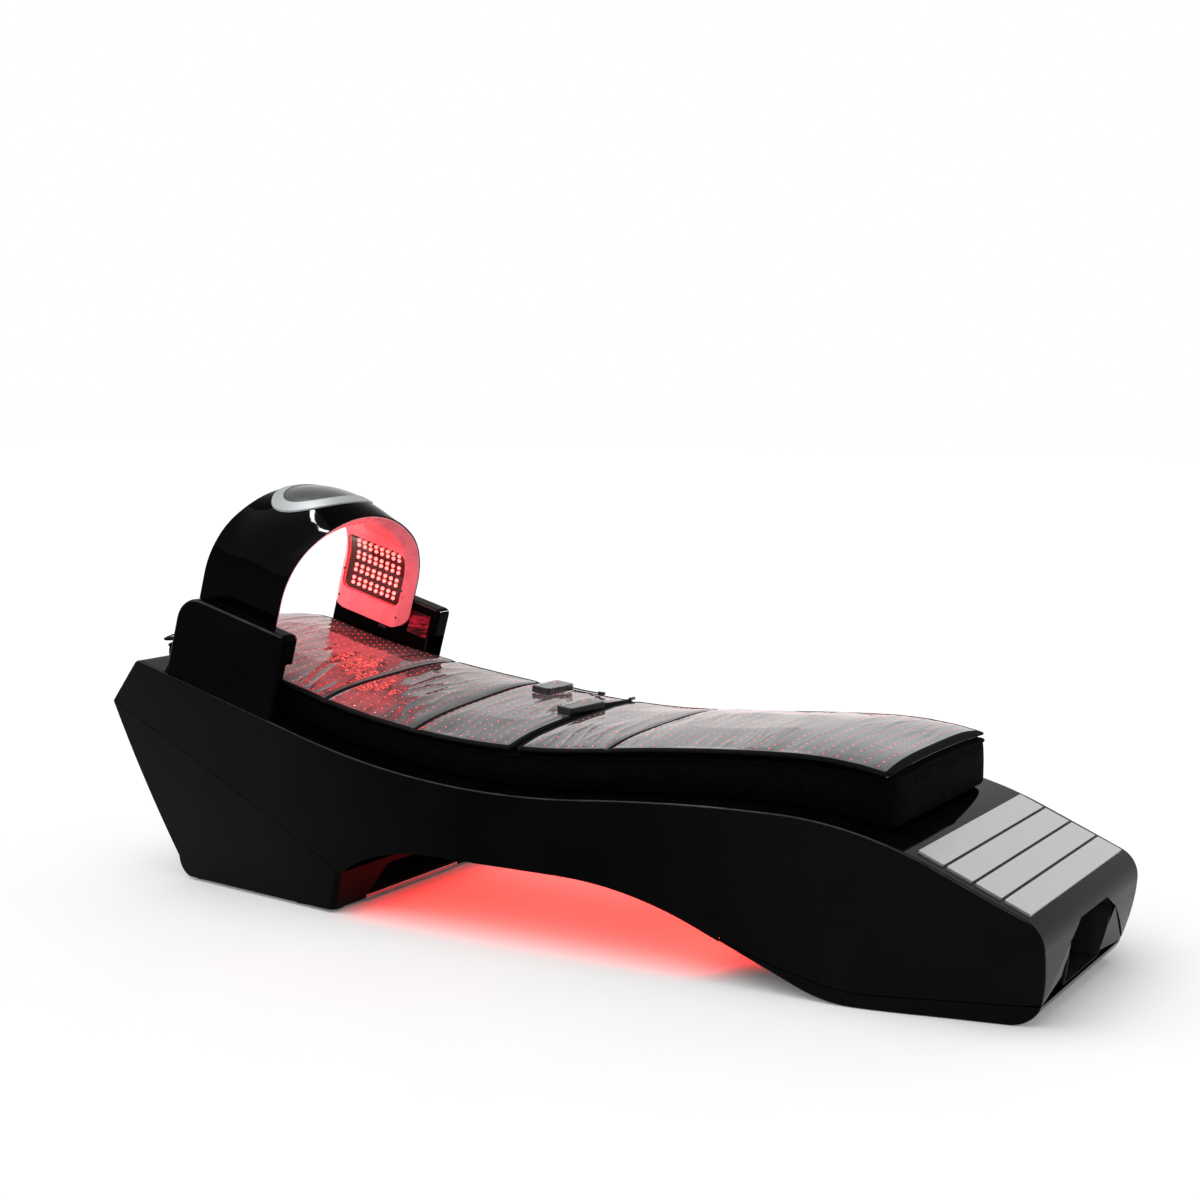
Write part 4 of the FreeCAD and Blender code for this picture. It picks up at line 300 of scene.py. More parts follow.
def lacquer(name, specular):
    """Polished black lacquer, smudged by hands, with a painted highlight: paler colour on its upward-facing
    rounded edges.
    """
    made, tree, shader = new_material(name)
    settle(shader, Specular_IOR_Level=specular)
    smudge = noise_value(tree, 6, 5)
    share = spread(tree, smudge, 0, 1)
    ground = blend_colours(tree, share, (0.0010, 0.0010, 0.0011), (0.0022, 0.0022, 0.0024))
    # Painted highlight: base colour raised to pale grey on rounded edges that face up and sideways
    painted_edge_highlight = multiplied(tree, edge_highlight_mask(tree), spread(tree, noise_value(tree, 25, 3), 0.4, 1.0))
    highlighted_ground = tree.nodes.new("ShaderNodeMix")
    highlighted_ground.data_type = "RGBA"
    highlighted_ground.inputs[7].default_value = (0.06, 0.06, 0.06, 1)
    tree.links.new(painted_edge_highlight, highlighted_ground.inputs["Factor"])
    tree.links.new(ground, highlighted_ground.inputs[6])
    tree.links.new(highlighted_ground.outputs[2], shader.inputs["Base Color"])
    tree.links.new(spread(tree, smudge, 0.03, 0.08), shader.inputs["Roughness"])
    bump(tree, shader, noise_value(tree, 260, 2), 0.03, 0.0003)
    return made


def shell_black():
    """The shell's lacquer, polished most towards its ends."""
    made = lacquer("shell_black", 0.04)
    tree = made.node_tree
    level = spread(tree, between(tree, "X", *DULL_RUN), 0.042, 0.012, 0, 1)
    tree.links.new(level, tree.nodes["Principled BSDF"].inputs["Specular IOR Level"])
    return made


def dome_black():
    """The dome's black lacquer."""
    made, tree, shader = new_material("dome_black")
    settle(shader, Specular_IOR_Level=0.02)
    smudge = noise_value(tree, 8, 5)
    vary(tree, shader, smudge, (0.0006, 0.0006, 0.0007), (0.0012, 0.0012, 0.0013), 0.03, 0.07)
    bump(tree, shader, noise_value(tree, 260, 2), 0.03, 0.0003)
    return made


def panel_gloss():
    """Smoked panel with streaky red emission on its upper part: a painted reflection of the dome's red glow.
    """
    made, tree, shader = new_material("panel_gloss")
    settle(shader, Specular_IOR_Level=0.12, Emission_Color=(1, 0.02, 0.06, 1))
    vary(tree, shader, noise_value(tree, 30, 4), (0.002, 0.002, 0.002), (0.004, 0.004, 0.004), 0.05, 0.14)
    # Painted reflection: red emission in streaks, stronger above the given heights
    painted_red_streaks = spread(tree, noise_value(tree, 14, 4, (1.5, 1, 7), 0.6, 0.4), 0.03, 0.60, 0.42, 0.72)
    upper = spread(tree, along(tree, "Z"), 0.05, 1.0, *PANEL_PAINTED_RED_RISE)
    tree.links.new(multiplied(tree, painted_red_streaks, upper), shader.inputs["Emission Strength"])
    return made


def liner_black():
    made, tree, shader = new_material("liner_black")
    settle(shader, Specular_IOR_Level=0.2)
    vary(tree, shader, noise_value(tree, 30, 4), (0.008, 0.008, 0.009), (0.016, 0.016, 0.017), 0.38, 0.55)
    bump(tree, shader, noise_value(tree, 900, 2), 0.15, 0.0003)
    return made


def plate_metal():
    made, tree, shader = new_material("plate_metal")
    settle(shader, Metallic=1.0)
    grain = noise_value(tree, 40, 6, (14, 0.35, 14), 0.65)
    vary(tree, shader, grain, (0.60, 0.60, 0.605), (0.74, 0.74, 0.745), 0.30, 0.44)
    bump(tree, shader, grain, 0.10, 0.0004)
    return made


def liner_white():
    made, tree, shader = new_material("liner_white")
    settle(shader, Specular_IOR_Level=0.45)
    # Base colour tinted pink: painted red light on the white liner, on top of the red lamps that light it
    vary(tree, shader, noise_value(tree, 22, 5), (0.84, 0.22, 0.28), (0.90, 0.28, 0.34), 0.22, 0.34)
    bump(tree, shader, noise_value(tree, 700, 2), 0.05, 0.0003)
    return made


def window_clear():
    made = bpy.data.materials.new("window_clear")
    made.use_nodes = True
    tree = made.node_tree
    tree.nodes.remove(tree.nodes["Principled BSDF"])
    clear = tree.nodes.new("ShaderNodeBsdfTransparent")
    clear.inputs["Color"].default_value = (0.97, 0.92, 0.92, 1)
    gloss = tree.nodes.new("ShaderNodeBsdfGlossy")
    gloss.inputs["Color"].default_value = (1, 1, 1, 1)
    tree.links.new(spread(tree, noise_value(tree, 18, 4), 0.02, 0.10), gloss.inputs["Roughness"])
    edge = tree.nodes.new("ShaderNodeFresnel")
    edge.inputs["IOR"].default_value = 1.22
    mix = tree.nodes.new("ShaderNodeMixShader")
    tree.links.new(edge.outputs["Fac"], mix.inputs["Fac"])
    tree.links.new(clear.outputs["BSDF"], mix.inputs[1])
    tree.links.new(gloss.outputs["BSDF"], mix.inputs[2])
    tree.links.new(mix.outputs["Shader"], tree.nodes["Material Output"].inputs["Surface"])
    return made


def board_dark():
    made, tree, shader = new_material("board_dark")
    # Faint red emission: painted light of the LEDs falling on the dark red-brown board
    settle(shader, Specular_IOR_Level=0.1, Emission_Color=(1, 0.01, 0.02, 1), Emission_Strength=0.06)
    tracks = noise_value(tree, 60, 3, (1, 0.2, 0.2))
    vary(tree, shader, tracks, (0.010, 0.003, 0.003), (0.018, 0.005, 0.005), 0.5, 0.7)
    bump(tree, shader, tracks, 0.05, 0.0003)
    return made


def glowing(name, colour, strength, low, high):
    """Lit plastic: a coloured lens with an even glow and a faint mottle."""
    made, tree, shader = new_material(name)
    settle(shader, Emission_Color=(*colour, 1), Emission_Strength=strength)
    vary(tree, shader, noise_value(tree, 300, 3), low, high, 0.15, 0.3)
    return made


def mat_light():
    """Small lights of the mats, brighter in some patches than in others."""
    made = glowing("mat_light", (1.0, 0.025, 0.04), 1.3, (0.5, 0.05, 0.05), (0.7, 0.08, 0.08))
    tree = made.node_tree
    level = spread(tree, noise_value(tree, 16, 3), 0.6, 3.2)
    tree.links.new(level, tree.nodes["Principled BSDF"].inputs["Emission Strength"])
    return made


def lens_red():
    """Lit strip under the arch, dim at its low end on the wall."""
    made = glowing("lens_red", (1.0, 0.06, 0.05), 4.0, (0.30, 0.03, 0.03), (0.40, 0.05, 0.05))
    tree = made.node_tree
    level = spread(tree, along(tree, "Z"), 0.04, 4.0, *LENS_RISE)
    tree.links.new(level, tree.nodes["Principled BSDF"].inputs["Emission Strength"])
    return made


def ring_silver():
    made, tree, shader = new_material("ring_silver")
    settle(shader, Metallic=0.08, Specular_IOR_Level=0.08)
    vary(tree, shader, noise_value(tree, 1200, 2), (0.34, 0.355, 0.36), (0.42, 0.435, 0.44), 0.44, 0.54)
    bump(tree, shader, noise_value(tree, 1500, 2), 0.05, 0.0002)
    return made


def panel_grey():
    made, tree, shader = new_material("panel_grey")
    settle(shader, Specular_IOR_Level=0.4)
    vary(tree, shader, noise_value(tree, 14, 4), (0.050, 0.053, 0.056), (0.066, 0.069, 0.072), 0.16, 0.26)
    bump(tree, shader, noise_value(tree, 800, 2), 0.05, 0.0002)
    return made


def metal(name, dark, light, low_rough, high_rough, stretch=(1, 1, 1)):
    """Plain machined or pressed metal with faint marks."""
    made, tree, shader = new_material(name)
    settle(shader, Metallic=1.0)
    marks = noise_value(tree, 120, 5, stretch)
    vary(tree, shader, marks, dark, light, low_rough, high_rough)
    bump(tree, shader, marks, 0.08, 0.0003)
    return made


def moulded(name, dark, light, low_rough, high_rough, grain, specular=0.3):
    """Moulded plastic, rubber, fibre or paint with a fine grain."""
    made, tree, shader = new_material(name)
    settle(shader, Specular_IOR_Level=specular)
    vary(tree, shader, noise_value(tree, 60, 4), dark, light, low_rough, high_rough)
    bump(tree, shader, noise_value(tree, grain, 2), 0.2, 0.0003)
    return made


def knit_black():
    made, tree, shader = new_material("knit_black")
    settle(shader, Specular_IOR_Level=0.02, Sheen_Weight=0.006, Sheen_Roughness=0.4)
    rows = wave_value(tree, 260, "Z", 1.2)
    ribs = wave_value(tree, 300, "X", 1.2)
    loops = added(tree, rows, ribs)
    fluff = noise_value(tree, 45, 5)
    vary(tree, shader, fluff, (0.0006, 0.0006, 0.0008), (0.0020, 0.0020, 0.0024), 0.75, 0.9)
    bump(tree, shader, loops, 0.4, 0.0006)
    return made


def mat_film():
    """Clear film over a dark quilt: a grey ground under a gloss skin with fine creases."""
    made, tree, shader = new_material("mat_film")
    settle(shader, Specular_IOR_Level=0.5, IOR=2.0)
    ground = noise_value(tree, 9, 4, (3, 0.6, 1))
    vary(tree, shader, ground, (0.050, 0.050, 0.053), (0.115, 0.115, 0.120), 0.03, 0.09)
    folds = noise_value(tree, 16, 2, (1.5, 0.35, 1), 0.45, 0.6)
    crumple = noise_value(tree, 24, 1.5, (1.0, 0.6, 1), 0.5, 0.5)
    crumpled = multiplied(tree, crumple, spread(tree, along(tree, "X"), 0.80, 0.03, *CRUMPLE_RUN))
    pleats = spread(tree, noise_value(tree, 46, 3, (1.3, 0.22, 1), 0.5, 0.5), 0, 0.22, 0, 1)
    bump(tree, shader, added(tree, added(tree, folds, pleats), crumpled), 0.30, 0.005)
    return made


def tape_black():
    made, tree, shader = new_material("tape_black")
    settle(shader, Specular_IOR_Level=0.03)
    ribs = wave_value(tree, 420, "DIAGONAL", 0.6)
    vary(tree, shader, noise_value(tree, 80, 4), (0.002, 0.002, 0.002), (0.006, 0.006, 0.006), 0.6, 0.8)
    bump(tree, shader, ribs, 0.35, 0.0004)
    return made


def floor_white():
    made, tree, shader = new_material("floor_white")
    settle(shader, Specular_IOR_Level=0.0, Emission_Color=(1, 1, 1, 1))
    vary(tree, shader, noise_value(tree, 3, 3), (0.89, 0.89, 0.89), (0.91, 0.91, 0.91), 0.9, 0.95)
    lift = spread(tree, background_rays(tree), 0, FLOOR_LIFT, 0, 1)
    # Painted shade: the lift is taken away under the bed, so the floor there is darker than the lit floor
    # around it
    painted_shade = multiplied(tree, between(tree, "X", *PAINTED_SHADE_LENGTH), between(tree, "Y", *PAINTED_SHADE_WIDTH))
    lift_outside_shade = spread(tree, painted_shade, 1, 0, 0, 1)
    tree.links.new(multiplied(tree, lift, lift_outside_shade), shader.inputs["Emission Strength"])
    return made


def background_rays(tree):
    """One on rays from the camera, and in what gloss and glass show; nought on the rays that light things."""
    path = tree.nodes.new("ShaderNodeLightPath")
    seen = added(tree, path.outputs["Is Camera Ray"], path.outputs["Is Glossy Ray"])
    return added(tree, seen, path.outputs["Is Transmission Ray"])


def all_materials():
    return {
        "shell_black": shell_black(),
        "wing_black": lacquer("wing_black", 0.012),
        "dome_black": dome_black(),
        "panel_gloss": panel_gloss(),
        "screw_black": metal("screw_black", (0.02, 0.02, 0.02), (0.05, 0.05, 0.05), 0.35, 0.5),
        "liner_black": liner_black(),
        "plate_metal": plate_metal(),
        "liner_white": liner_white(),
        "window_clear": window_clear(),
        "board_dark": board_dark(),
        "lamp_red": glowing("lamp_red", (1.0, 0.075, 0.07), 9.0, (0.9, 0.2, 0.15), (1.0, 0.3, 0.25)),
        "lens_red": lens_red(),
        "mat_light": mat_light(),
        "ring_silver": ring_silver(),
        "panel_grey": panel_grey(),
        "steel": metal("steel", (0.45, 0.45, 0.46), (0.60, 0.60, 0.61), 0.22, 0.40),
        "bronze": metal("bronze", (0.48, 0.36, 0.18), (0.60, 0.46, 0.26), 0.30, 0.45),
        "case_metal": metal("case_metal", (0.50, 0.50, 0.51), (0.64, 0.64, 0.65), 0.35, 0.5, (6, 0.5, 1)),
        "channel_metal": metal("channel_metal", (0.58, 0.58, 0.59), (0.72, 0.72, 0.73),
                               0.3, 0.45, (0.5, 6, 1)),
        "friction_fibre": moulded("friction_fibre", (0.04, 0.04, 0.04), (0.08, 0.08, 0.07), 0.7, 0.9, 1100),
        "rubber_black": moulded("rubber_black", (0.010, 0.010, 0.010), (0.024, 0.024, 0.024), 0.5, 0.75, 700),
        "handset_black": moulded("handset_black", (0.006, 0.006, 0.007), (0.012, 0.012, 0.013),
                                 0.06, 0.14, 1400, 0.5),
        "frame_paint": moulded("frame_paint", (0.035, 0.035, 0.04), (0.06, 0.06, 0.065), 0.4, 0.6, 500),
        "key_grey": moulded("key_grey", (0.62, 0.62, 0.63), (0.76, 0.76, 0.77), 0.35, 0.5, 900),
        "display_red": glowing("display_red", (1.0, 0.03, 0.04), 0.05,
                               (0.010, 0.004, 0.004), (0.018, 0.006, 0.006)),
        "print_white": moulded("print_white", (0.62, 0.62, 0.63), (0.75, 0.75, 0.76), 0.4, 0.55, 900),
        "knit_black": knit_black(),
        "mat_film": mat_film(),
        "tape_black": tape_black(),
    }


MATERIALS = all_materials()


# Dressing the carried-over solids
def dress_nodes():
    """Give every CAD node the detailed material of its slot in the record."""
    slots = slots_of_nodes()
    for name, node in NODES.items():
        material = MATERIALS.get(SPECIAL_MATERIALS.get(name, slots[name]))
        if material:
            node.data.materials.clear()
            node.data.materials.append(material)


def slots_of_nodes():
    """Material slot of each CAD node, by name."""
    found = {}
    for entry in frame["record"]["subparts"]:
        found[entry["node"]] = entry["material_slot"]
    return found


# Mesh helpers
def new_object(name, mesh, material, body):
    made = bpy.data.objects.new(name, mesh)
    bpy.context.scene.collection.objects.link(made)
    mesh.materials.clear()
    mesh.materials.append(material)
    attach(made, body)
    return made


def smooth(mesh):
    mesh.polygons.foreach_set("use_smooth", [True] * len(mesh.polygons))
    mesh.update()


def applied(working):
    """Mesh of an object with its modifiers applied; the object goes."""
    bpy.context.view_layer.update()
    graph = bpy.context.evaluated_depsgraph_get()
    mesh = bpy.data.meshes.new_from_object(working.evaluated_get(graph))
    bpy.data.objects.remove(working)
    return mesh


def worked_copy(mesh, name):
    working = bpy.data.objects.new(name, mesh)
    bpy.context.scene.collection.objects.link(working)
    return working


def remeshed(node, voxel, inset, rounds=0):
    """Even mesh of a CAD node, drawn in along its normals by an inset, its edges softened in rounds."""
    mesh = NODES[node].data.copy()
    working = worked_copy(mesh, node + "_working")
    weld = working.modifiers.new("weld", "WELD")
    weld.merge_threshold = 0.00005
    even = working.modifiers.new("even", "REMESH")
    even.mode = "VOXEL"
    even.voxel_size = voxel
    shrink = working.modifiers.new("inset", "DISPLACE")
    shrink.strength = -inset
    shrink.mid_level = 0
    if rounds:
        soften = working.modifiers.new("soften", "SMOOTH")
        soften.factor = 0.5
        soften.iterations = rounds
    return applied(working)


def puffed(mesh, pressure, cap, frames, pinned):
    """Cloth run with air pressure; pinned gives each point's hold from 0 to 1, and cap limits its way."""
    working = worked_copy(mesh, "puffing")
    rest = [vertex.co.copy() for vertex in mesh.vertices]
    group = working.vertex_groups.new(name="hold")
    for vertex in mesh.vertices:
        hold = pinned(vertex.co)
        if hold > 0:
            group.add([vertex.index], hold, "REPLACE")
    cloth = working.modifiers.new("puff", "CLOTH")
    settings = cloth.settings
    settings.quality = 4
    settings.use_pressure = True
    settings.uniform_pressure_force = pressure
    settings.vertex_group_mass = "hold"
    settings.effector_weights.gravity = 0
    cloth.collision_settings.use_collision = False
    cloth.point_cache.frame_start = 1
    cloth.point_cache.frame_end = frames
    for step in range(1, frames + 1):
        bpy.context.scene.frame_set(step)
    result = applied(working)
    for vertex, start in zip(result.vertices, rest):
        way = vertex.co - start
        if way.length > cap:
            vertex.co = start + way * (cap / way.length)
    bpy.context.scene.frame_set(1)
    return result


def subdivided(mesh):
    working = worked_copy(mesh, "dividing")
    finer = working.modifiers.new("finer", "SUBSURF")
    finer.levels = 1
    finer.render_levels = 1
    return applied(working)


def strip_mesh(name, rows, closed=False):
    """Mesh from rows of points, each row as long as the next."""
    mesh = bpy.data.meshes.new(name)
    points = [point for row in rows for point in row]
    width = len(rows[0])
    faces = []
    count = len(rows)
    for row in range(count if closed else count - 1):
        after = (row + 1) % count
        for column in range(width - 1):
            faces.append((row * width + column, row * width + column + 1,
                          after * width + column + 1, after * width + column))
    mesh.from_pydata(points, [], faces)
    mesh.validate()
    smooth(mesh)
    return mesh


def tube_mesh(name, points, radius, sides=10, closed=True):
    """Round tube along points."""
    rows = []
    count = len(points)
    for number, point in enumerate(points):
        before = points[number - 1] if closed or number else point
        after = points[(number + 1) % count] if closed or number < count - 1 else point
        way = (after - before).normalized()
        side = way.cross(UP).normalized()
        over = side.cross(way)
        ring = []
        for step in range(sides + 1):
            angle = 2 * math.pi * step / sides
            ring.append(point + side * (radius * math.cos(angle)) + over * (radius * math.sin(angle)))
        rows.append(ring)
    return strip_mesh(name, rows, closed)


def height_finder(mesh):
    """Function that gives a mesh's top or bottom at a place, with its normal."""
    tree = BVHTree.FromPolygons([vertex.co for vertex in mesh.vertices],
                                [tuple(face.vertices) for face in mesh.polygons])

    def find(x, y, from_below=False):
        start = Vector((x, y, -1.0 if from_below else 3.0))
        hit, normal, _, _ = tree.ray_cast(start, UP if from_below else DOWN)
        return hit, normal

    return find


def rounded_outline(low, high, corner, step):
    """Points round a rectangle with round corners in plan, each with its inward direction."""
    places = []
    centres = ((high[0] - corner, high[1] - corner, 0), (low[0] + corner, high[1] - corner, 90),
               (low[0] + corner, low[1] + corner, 180), (high[0] - corner, low[1] + corner, 270))
    arcs = []
    for x, y, start in centres:
        for turn in range(0, 91, 15):
            angle = math.radians(start + turn)
            arcs.append((Vector((x + corner * math.cos(angle), y + corner * math.sin(angle), 0)),
                         Vector((-math.cos(angle), -math.sin(angle), 0))))
    for number, (place, inward) in enumerate(arcs):
        places.append((place, inward))
        after, after_inward = arcs[(number + 1) % len(arcs)]
        run = (after - place).length
        parts = int(run / step)
        for part in range(1, parts):
            share = part / parts
            places.append((place.lerp(after, share), inward.lerp(after_inward, share).normalized()))
    return places


# Handsets
def handset_matrix(name):
    along, across, over, place = (Vector(column) for column in HANDSET_FRAMES[name])
    turn = Matrix((along, across, over)).transposed().to_4x4()
    return Matrix.Translation(place) @ turn


def handset_bars(name, label, spots, size, material):
    """Small bars with round ends printed on a handset's cover."""
    matrix = handset_matrix(name)
    mesh = bpy.data.meshes.new(name + label)
    build = bmesh.new()
    radius, stretch = size
    for x, y in spots:
        ring = []
        for turn in range(MARK_SIDES):
            angle = 2 * math.pi * (turn + 0.5) / MARK_SIDES
            shift = math.copysign(stretch, math.sin(angle))
            ring.append(build.verts.new(matrix @ Vector((x + radius * math.cos(angle),
                                                         y + radius * math.sin(angle) + shift,
                                                         HANDSET_SIZE[2] + MARK_LIFT))))
        build.faces.new(ring)
    build.to_mesh(mesh)
    build.free()
    return new_object(name + label, mesh, MATERIALS[material], "bed")


def make_handset_marks(name):
    """Plain pale bars near a handset's far end, and one small red light on its display."""
    pale = [(-0.018 + 0.009 * column, 0.046) for column in range(3)]
    pale += [(0.006 + 0.008 * column, 0.040) for column in range(3)]
    handset_bars(name, "_marks", pale, (0.0022, 0.0012), "print_white")
    handset_bars(name, "_signal", [(-0.012, 0.024)], (0.0026, 0.0016), "mat_light")


# Mats
def pressing():
    """Function for the highest place the film may reach under a handset or a lead."""
    frames = [handset_matrix(name).inverted() for name in HANDSET_FRAMES]
    backs = [handset_matrix(name) for name in HANDSET_FRAMES]
    lines = []
    for _, points in LEADS.values():
        places = [Vector(point) for point in points]
        for first, second in zip(places, places[1:]):
            lines += [first.lerp(second, share / 4) for share in range(4)]

    def highest(place):
        top = place.z
        for frame_in, back in zip(frames, backs):
            local = frame_in @ place
            out = max(abs(local.x) - HANDSET_SIZE[0] / 2, abs(local.y) - HANDSET_SIZE[1] / 2, 0)
            if out < PRESS_REACH:
                limit = -HANDSET_GAP + PRESS_RISE * max(0, out - PRESS_MARGIN)
                if local.z > limit:
                    local.z = limit
                    top = min(top, (back @ local).z)
        for line in lines:
            out = math.hypot(place.x - line.x, place.y - line.y)
            if out < PRESS_REACH:
                limit = line.z - LEAD_DIAMETER / 2 - LEAD_GAP + PRESS_RISE * max(0, out - PRESS_MARGIN)
                top = min(top, limit)
        return top

    return highest


def crease_height(x, y, seed):
    """Creases of the film: long billows across the bed, and sharper folds in places."""
    turn = 0.30 * noise.noise(Vector((x * 1.7, y * 1.7, seed)))
    along = x + y * (0.12 + turn)
    billow = noise.noise(Vector((along * 9.5, y * 2.4, seed + 3)))
    place = max(0, noise.noise(Vector((x * 5, y * 4, seed + 5))) + 0.15)
    fold = noise.noise(Vector((along * 26 + billow, y * 4.5, seed + 7)))
    fine = noise.noise(Vector((along * 60, y * 12, seed + 11)))
    ridge = max(0, 1 - 2.2 * abs(fold)) ** 2
    return BILLOW_HEIGHT * billow + FOLD_HEIGHT * place * ridge + FINE_HEIGHT * fine


def edge_share(value, reach):
    """From 0 at an edge to 1 inside."""
    share = min(1, max(0, value / reach))
    return share * share * (3 - 2 * share)


def edge_distance(place, low, high):
    """Distance of a place from the nearest side of a box in plan."""
    return min(place.x - low.x, high.x - place.x, place.y - low.y, high.y - place.y)


def seam_distance(node, x):
    return min(abs(x - seam) for seam in MAT_SEAMS[node])


def draw_in(place, low, high):
    """Keep a place inside the mat's outline with round corners in plan, where the binding covers it."""
    reach = BINDING_EDGE + BINDING_CORNER
    middle_x = min(max(place.x, low.x + reach), high.x - reach)
    middle_y = min(max(place.y, low.y + reach), high.y - reach)
    out = math.hypot(place.x - middle_x, place.y - middle_y)
    corner = BINDING_CORNER - FILM_SHORT
    if out > corner:
        place.x = middle_x + (place.x - middle_x) * corner / out
        place.y = middle_y + (place.y - middle_y) * corner / out


def make_mat(node, seed):
    """Film-covered mat: even mesh, air-puffed between its seams, then creased."""
    low, high = (Vector(corner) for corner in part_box(node))
    mesh = remeshed(node, MAT_VOXEL, MAT_INSET)

    def hold(place):
        inside = min(edge_distance(place, low, high), seam_distance(node, place.x))
        return 1 - edge_share(inside, MAT_HELD)

    mesh = puffed(mesh, *MAT_AIR, hold)
    mesh = subdivided(mesh)
    highest = pressing()
    normals = [vertex.normal.copy() for vertex in mesh.vertices]
    for vertex, normal in zip(mesh.vertices, normals):
        place = vertex.co
        draw_in(place, low, high)
        if normal.z < 0.2:
            continue
        from_edge = edge_distance(place, low, high) - BINDING_REACH - BINDING_EDGE
        from_seam = seam_distance(node, place.x)
        share = edge_share(from_edge, CREASE_FROM_EDGE)
        share *= edge_share(from_seam - TAPE_HALF - 0.001, CREASE_FROM_SEAM)
        place.z += share * crease_height(place.x, place.y, seed)
        place.z -= SEAM_DIP * (1 - edge_share(from_seam, SEAM_DIP_REACH))
        place.z = highest(place)
    smooth(mesh)
    mat = new_object(node + "_film", mesh, MATERIALS["mat_film"], "bed")
    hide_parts(node)
    return mat, height_finder(mesh), low, high


def make_seam_tapes(node, find, low, high):
    """Tape sewn across a mat on each seam."""
    bottom = low.y + BINDING_EDGE + FILM_SHORT + 0.001
    top = high.y - BINDING_EDGE - FILM_SHORT - 0.001
    for number, seam in enumerate(MAT_SEAMS[node], 1):
        rows = []
        for part in range(TAPE_PARTS + 1):
            y = bottom + (top - bottom) * part / TAPE_PARTS
            row = []
            for step in range(-TAPE_STEPS, TAPE_STEPS + 1):
                offset = TAPE_HALF * step / TAPE_STEPS
                hit, _ = find(seam + offset, y)
                middle, _ = find(seam, y)
                height = max(hit.z, middle.z) if abs(step) < TAPE_STEPS else hit.z
                rise = TAPE_RIM + TAPE_CROWN * (1 - (step / TAPE_STEPS) ** 2)
                row.append(Vector((seam + offset, y, height + rise)))
            rows.append(row)
        mesh = strip_mesh("{}_tape_{}".format(node, number), rows)
        new_object("{}_tape_{}".format(node, number), mesh, MATERIALS["tape_black"], "bed")


def make_binding(node, find, low, high):
    """Tape folded round the mat's edge."""
    rows = []
    first = (low.x + BINDING_EDGE, low.y + BINDING_EDGE)
    last = (high.x - BINDING_EDGE, high.y - BINDING_EDGE)
    for place, inward in rounded_outline(first, last, BINDING_CORNER, BINDING_STEP):
        inner = place + inward * BINDING_REACH
        near = place + inward * (FILM_SHORT + BINDING_BULGE)
        inner_top, _ = find(inner.x, inner.y)
        near_top, _ = find(near.x, near.y)
        inner_low, _ = find(inner.x, inner.y, True)
        near_low, _ = find(near.x, near.y, True)
        outer = place - inward * BINDING_BULGE
        drop = (near_top.z - near_low.z) * BINDING_SHOULDER
        rows.append([inner_top + UP * -0.0006,
                     inner_top + UP * 0.0008,
                     inner_top.lerp(near_top, 0.5) + UP * 0.0016,
                     near_top + UP * BINDING_BULGE,
                     Vector((outer.x, outer.y, near_top.z - drop)),
                     Vector((outer.x, outer.y, near_low.z + drop)),
                     near_low + UP * -0.0006,
                     inner_low + UP * -0.0004])
    mesh = strip_mesh(node + "_binding", rows, True)
    return new_object(node + "_binding", mesh, MATERIALS["tape_black"], "bed")


def make_mat_lights(node, find, low, high):
    """Rows of small red lights under the film."""
    chance = random.Random(node)
    mesh = bpy.data.meshes.new(node + "_lights")
    build = bmesh.new()
    count = int((high.x - low.x - LIGHT_ROW_MARGIN) / LIGHT_ROW_PITCH)
    first = low.x + (high.x - low.x - LIGHT_ROW_PITCH * (count - 1)) / 2
    for row in range(count):
        x = first + row * LIGHT_ROW_PITCH
        if seam_distance(node, x) < TAPE_HALF + LIGHT_RADIUS:
            x += 2 * (TAPE_HALF + LIGHT_RADIUS) - seam_distance(node, x)
        for number in range(LIGHTS_PER_ROW):
            y = (number - (LIGHTS_PER_ROW - 1) / 2) * LIGHT_PITCH
            hit, normal = find(x, y)
            radius = LIGHT_RADIUS * chance.uniform(*LIGHT_SPREAD)
            turn = normal.to_track_quat("Z", "Y").to_matrix().to_4x4()
            ring = []
            for step in range(LIGHT_SIDES):
                angle = 2 * math.pi * step / LIGHT_SIDES
                rim = Vector((radius * math.cos(angle), radius * math.sin(angle), LIGHT_RIM))
                ring.append(build.verts.new(hit + turn @ rim))
            top = build.verts.new(hit + turn @ Vector((0, 0, LIGHT_CROWN)))
            for step in range(LIGHT_SIDES):
                build.faces.new((ring[step], ring[(step + 1) % LIGHT_SIDES], top))
    build.to_mesh(mesh)
    build.free()
    smooth(mesh)
    return new_object(node + "_lights", mesh, MATERIALS["mat_light"], "bed")


# Mattress
def loose(place):
    """Hold of a point that nothing pins."""
    return 0.0


def make_mattress():
    """Pad in a knitted cover, a little puffed, with piping round its top."""
    low, high = (Vector(corner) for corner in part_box("mattress"))
    mesh = remeshed("mattress", MATTRESS_VOXEL, MATTRESS_INSET, MATTRESS_ROUNDS)
    mesh = puffed(mesh, *MATTRESS_AIR, loose)
    smooth(mesh)
    pad = new_object("mattress_pad", mesh, MATERIALS["knit_black"], "bed")
    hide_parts("mattress")
    find = height_finder(mesh)
    points = []
    first = (low.x + PIPING_EDGE, low.y + PIPING_EDGE)
    last = (high.x - PIPING_EDGE, high.y - PIPING_EDGE)
    for place, inward in rounded_outline(first, last, PIPING_CORNER, PIPING_STEP):
        inner = place + inward * PIPING_EDGE
        hit, _ = find(inner.x, inner.y)
        points.append(Vector((place.x, place.y, hit.z - PIPING_RADIUS)))
    piping = tube_mesh("mattress_piping", points, PIPING_RADIUS)
    new_object("mattress_piping", piping, MATERIALS["knit_black"], "bed")
    return pad


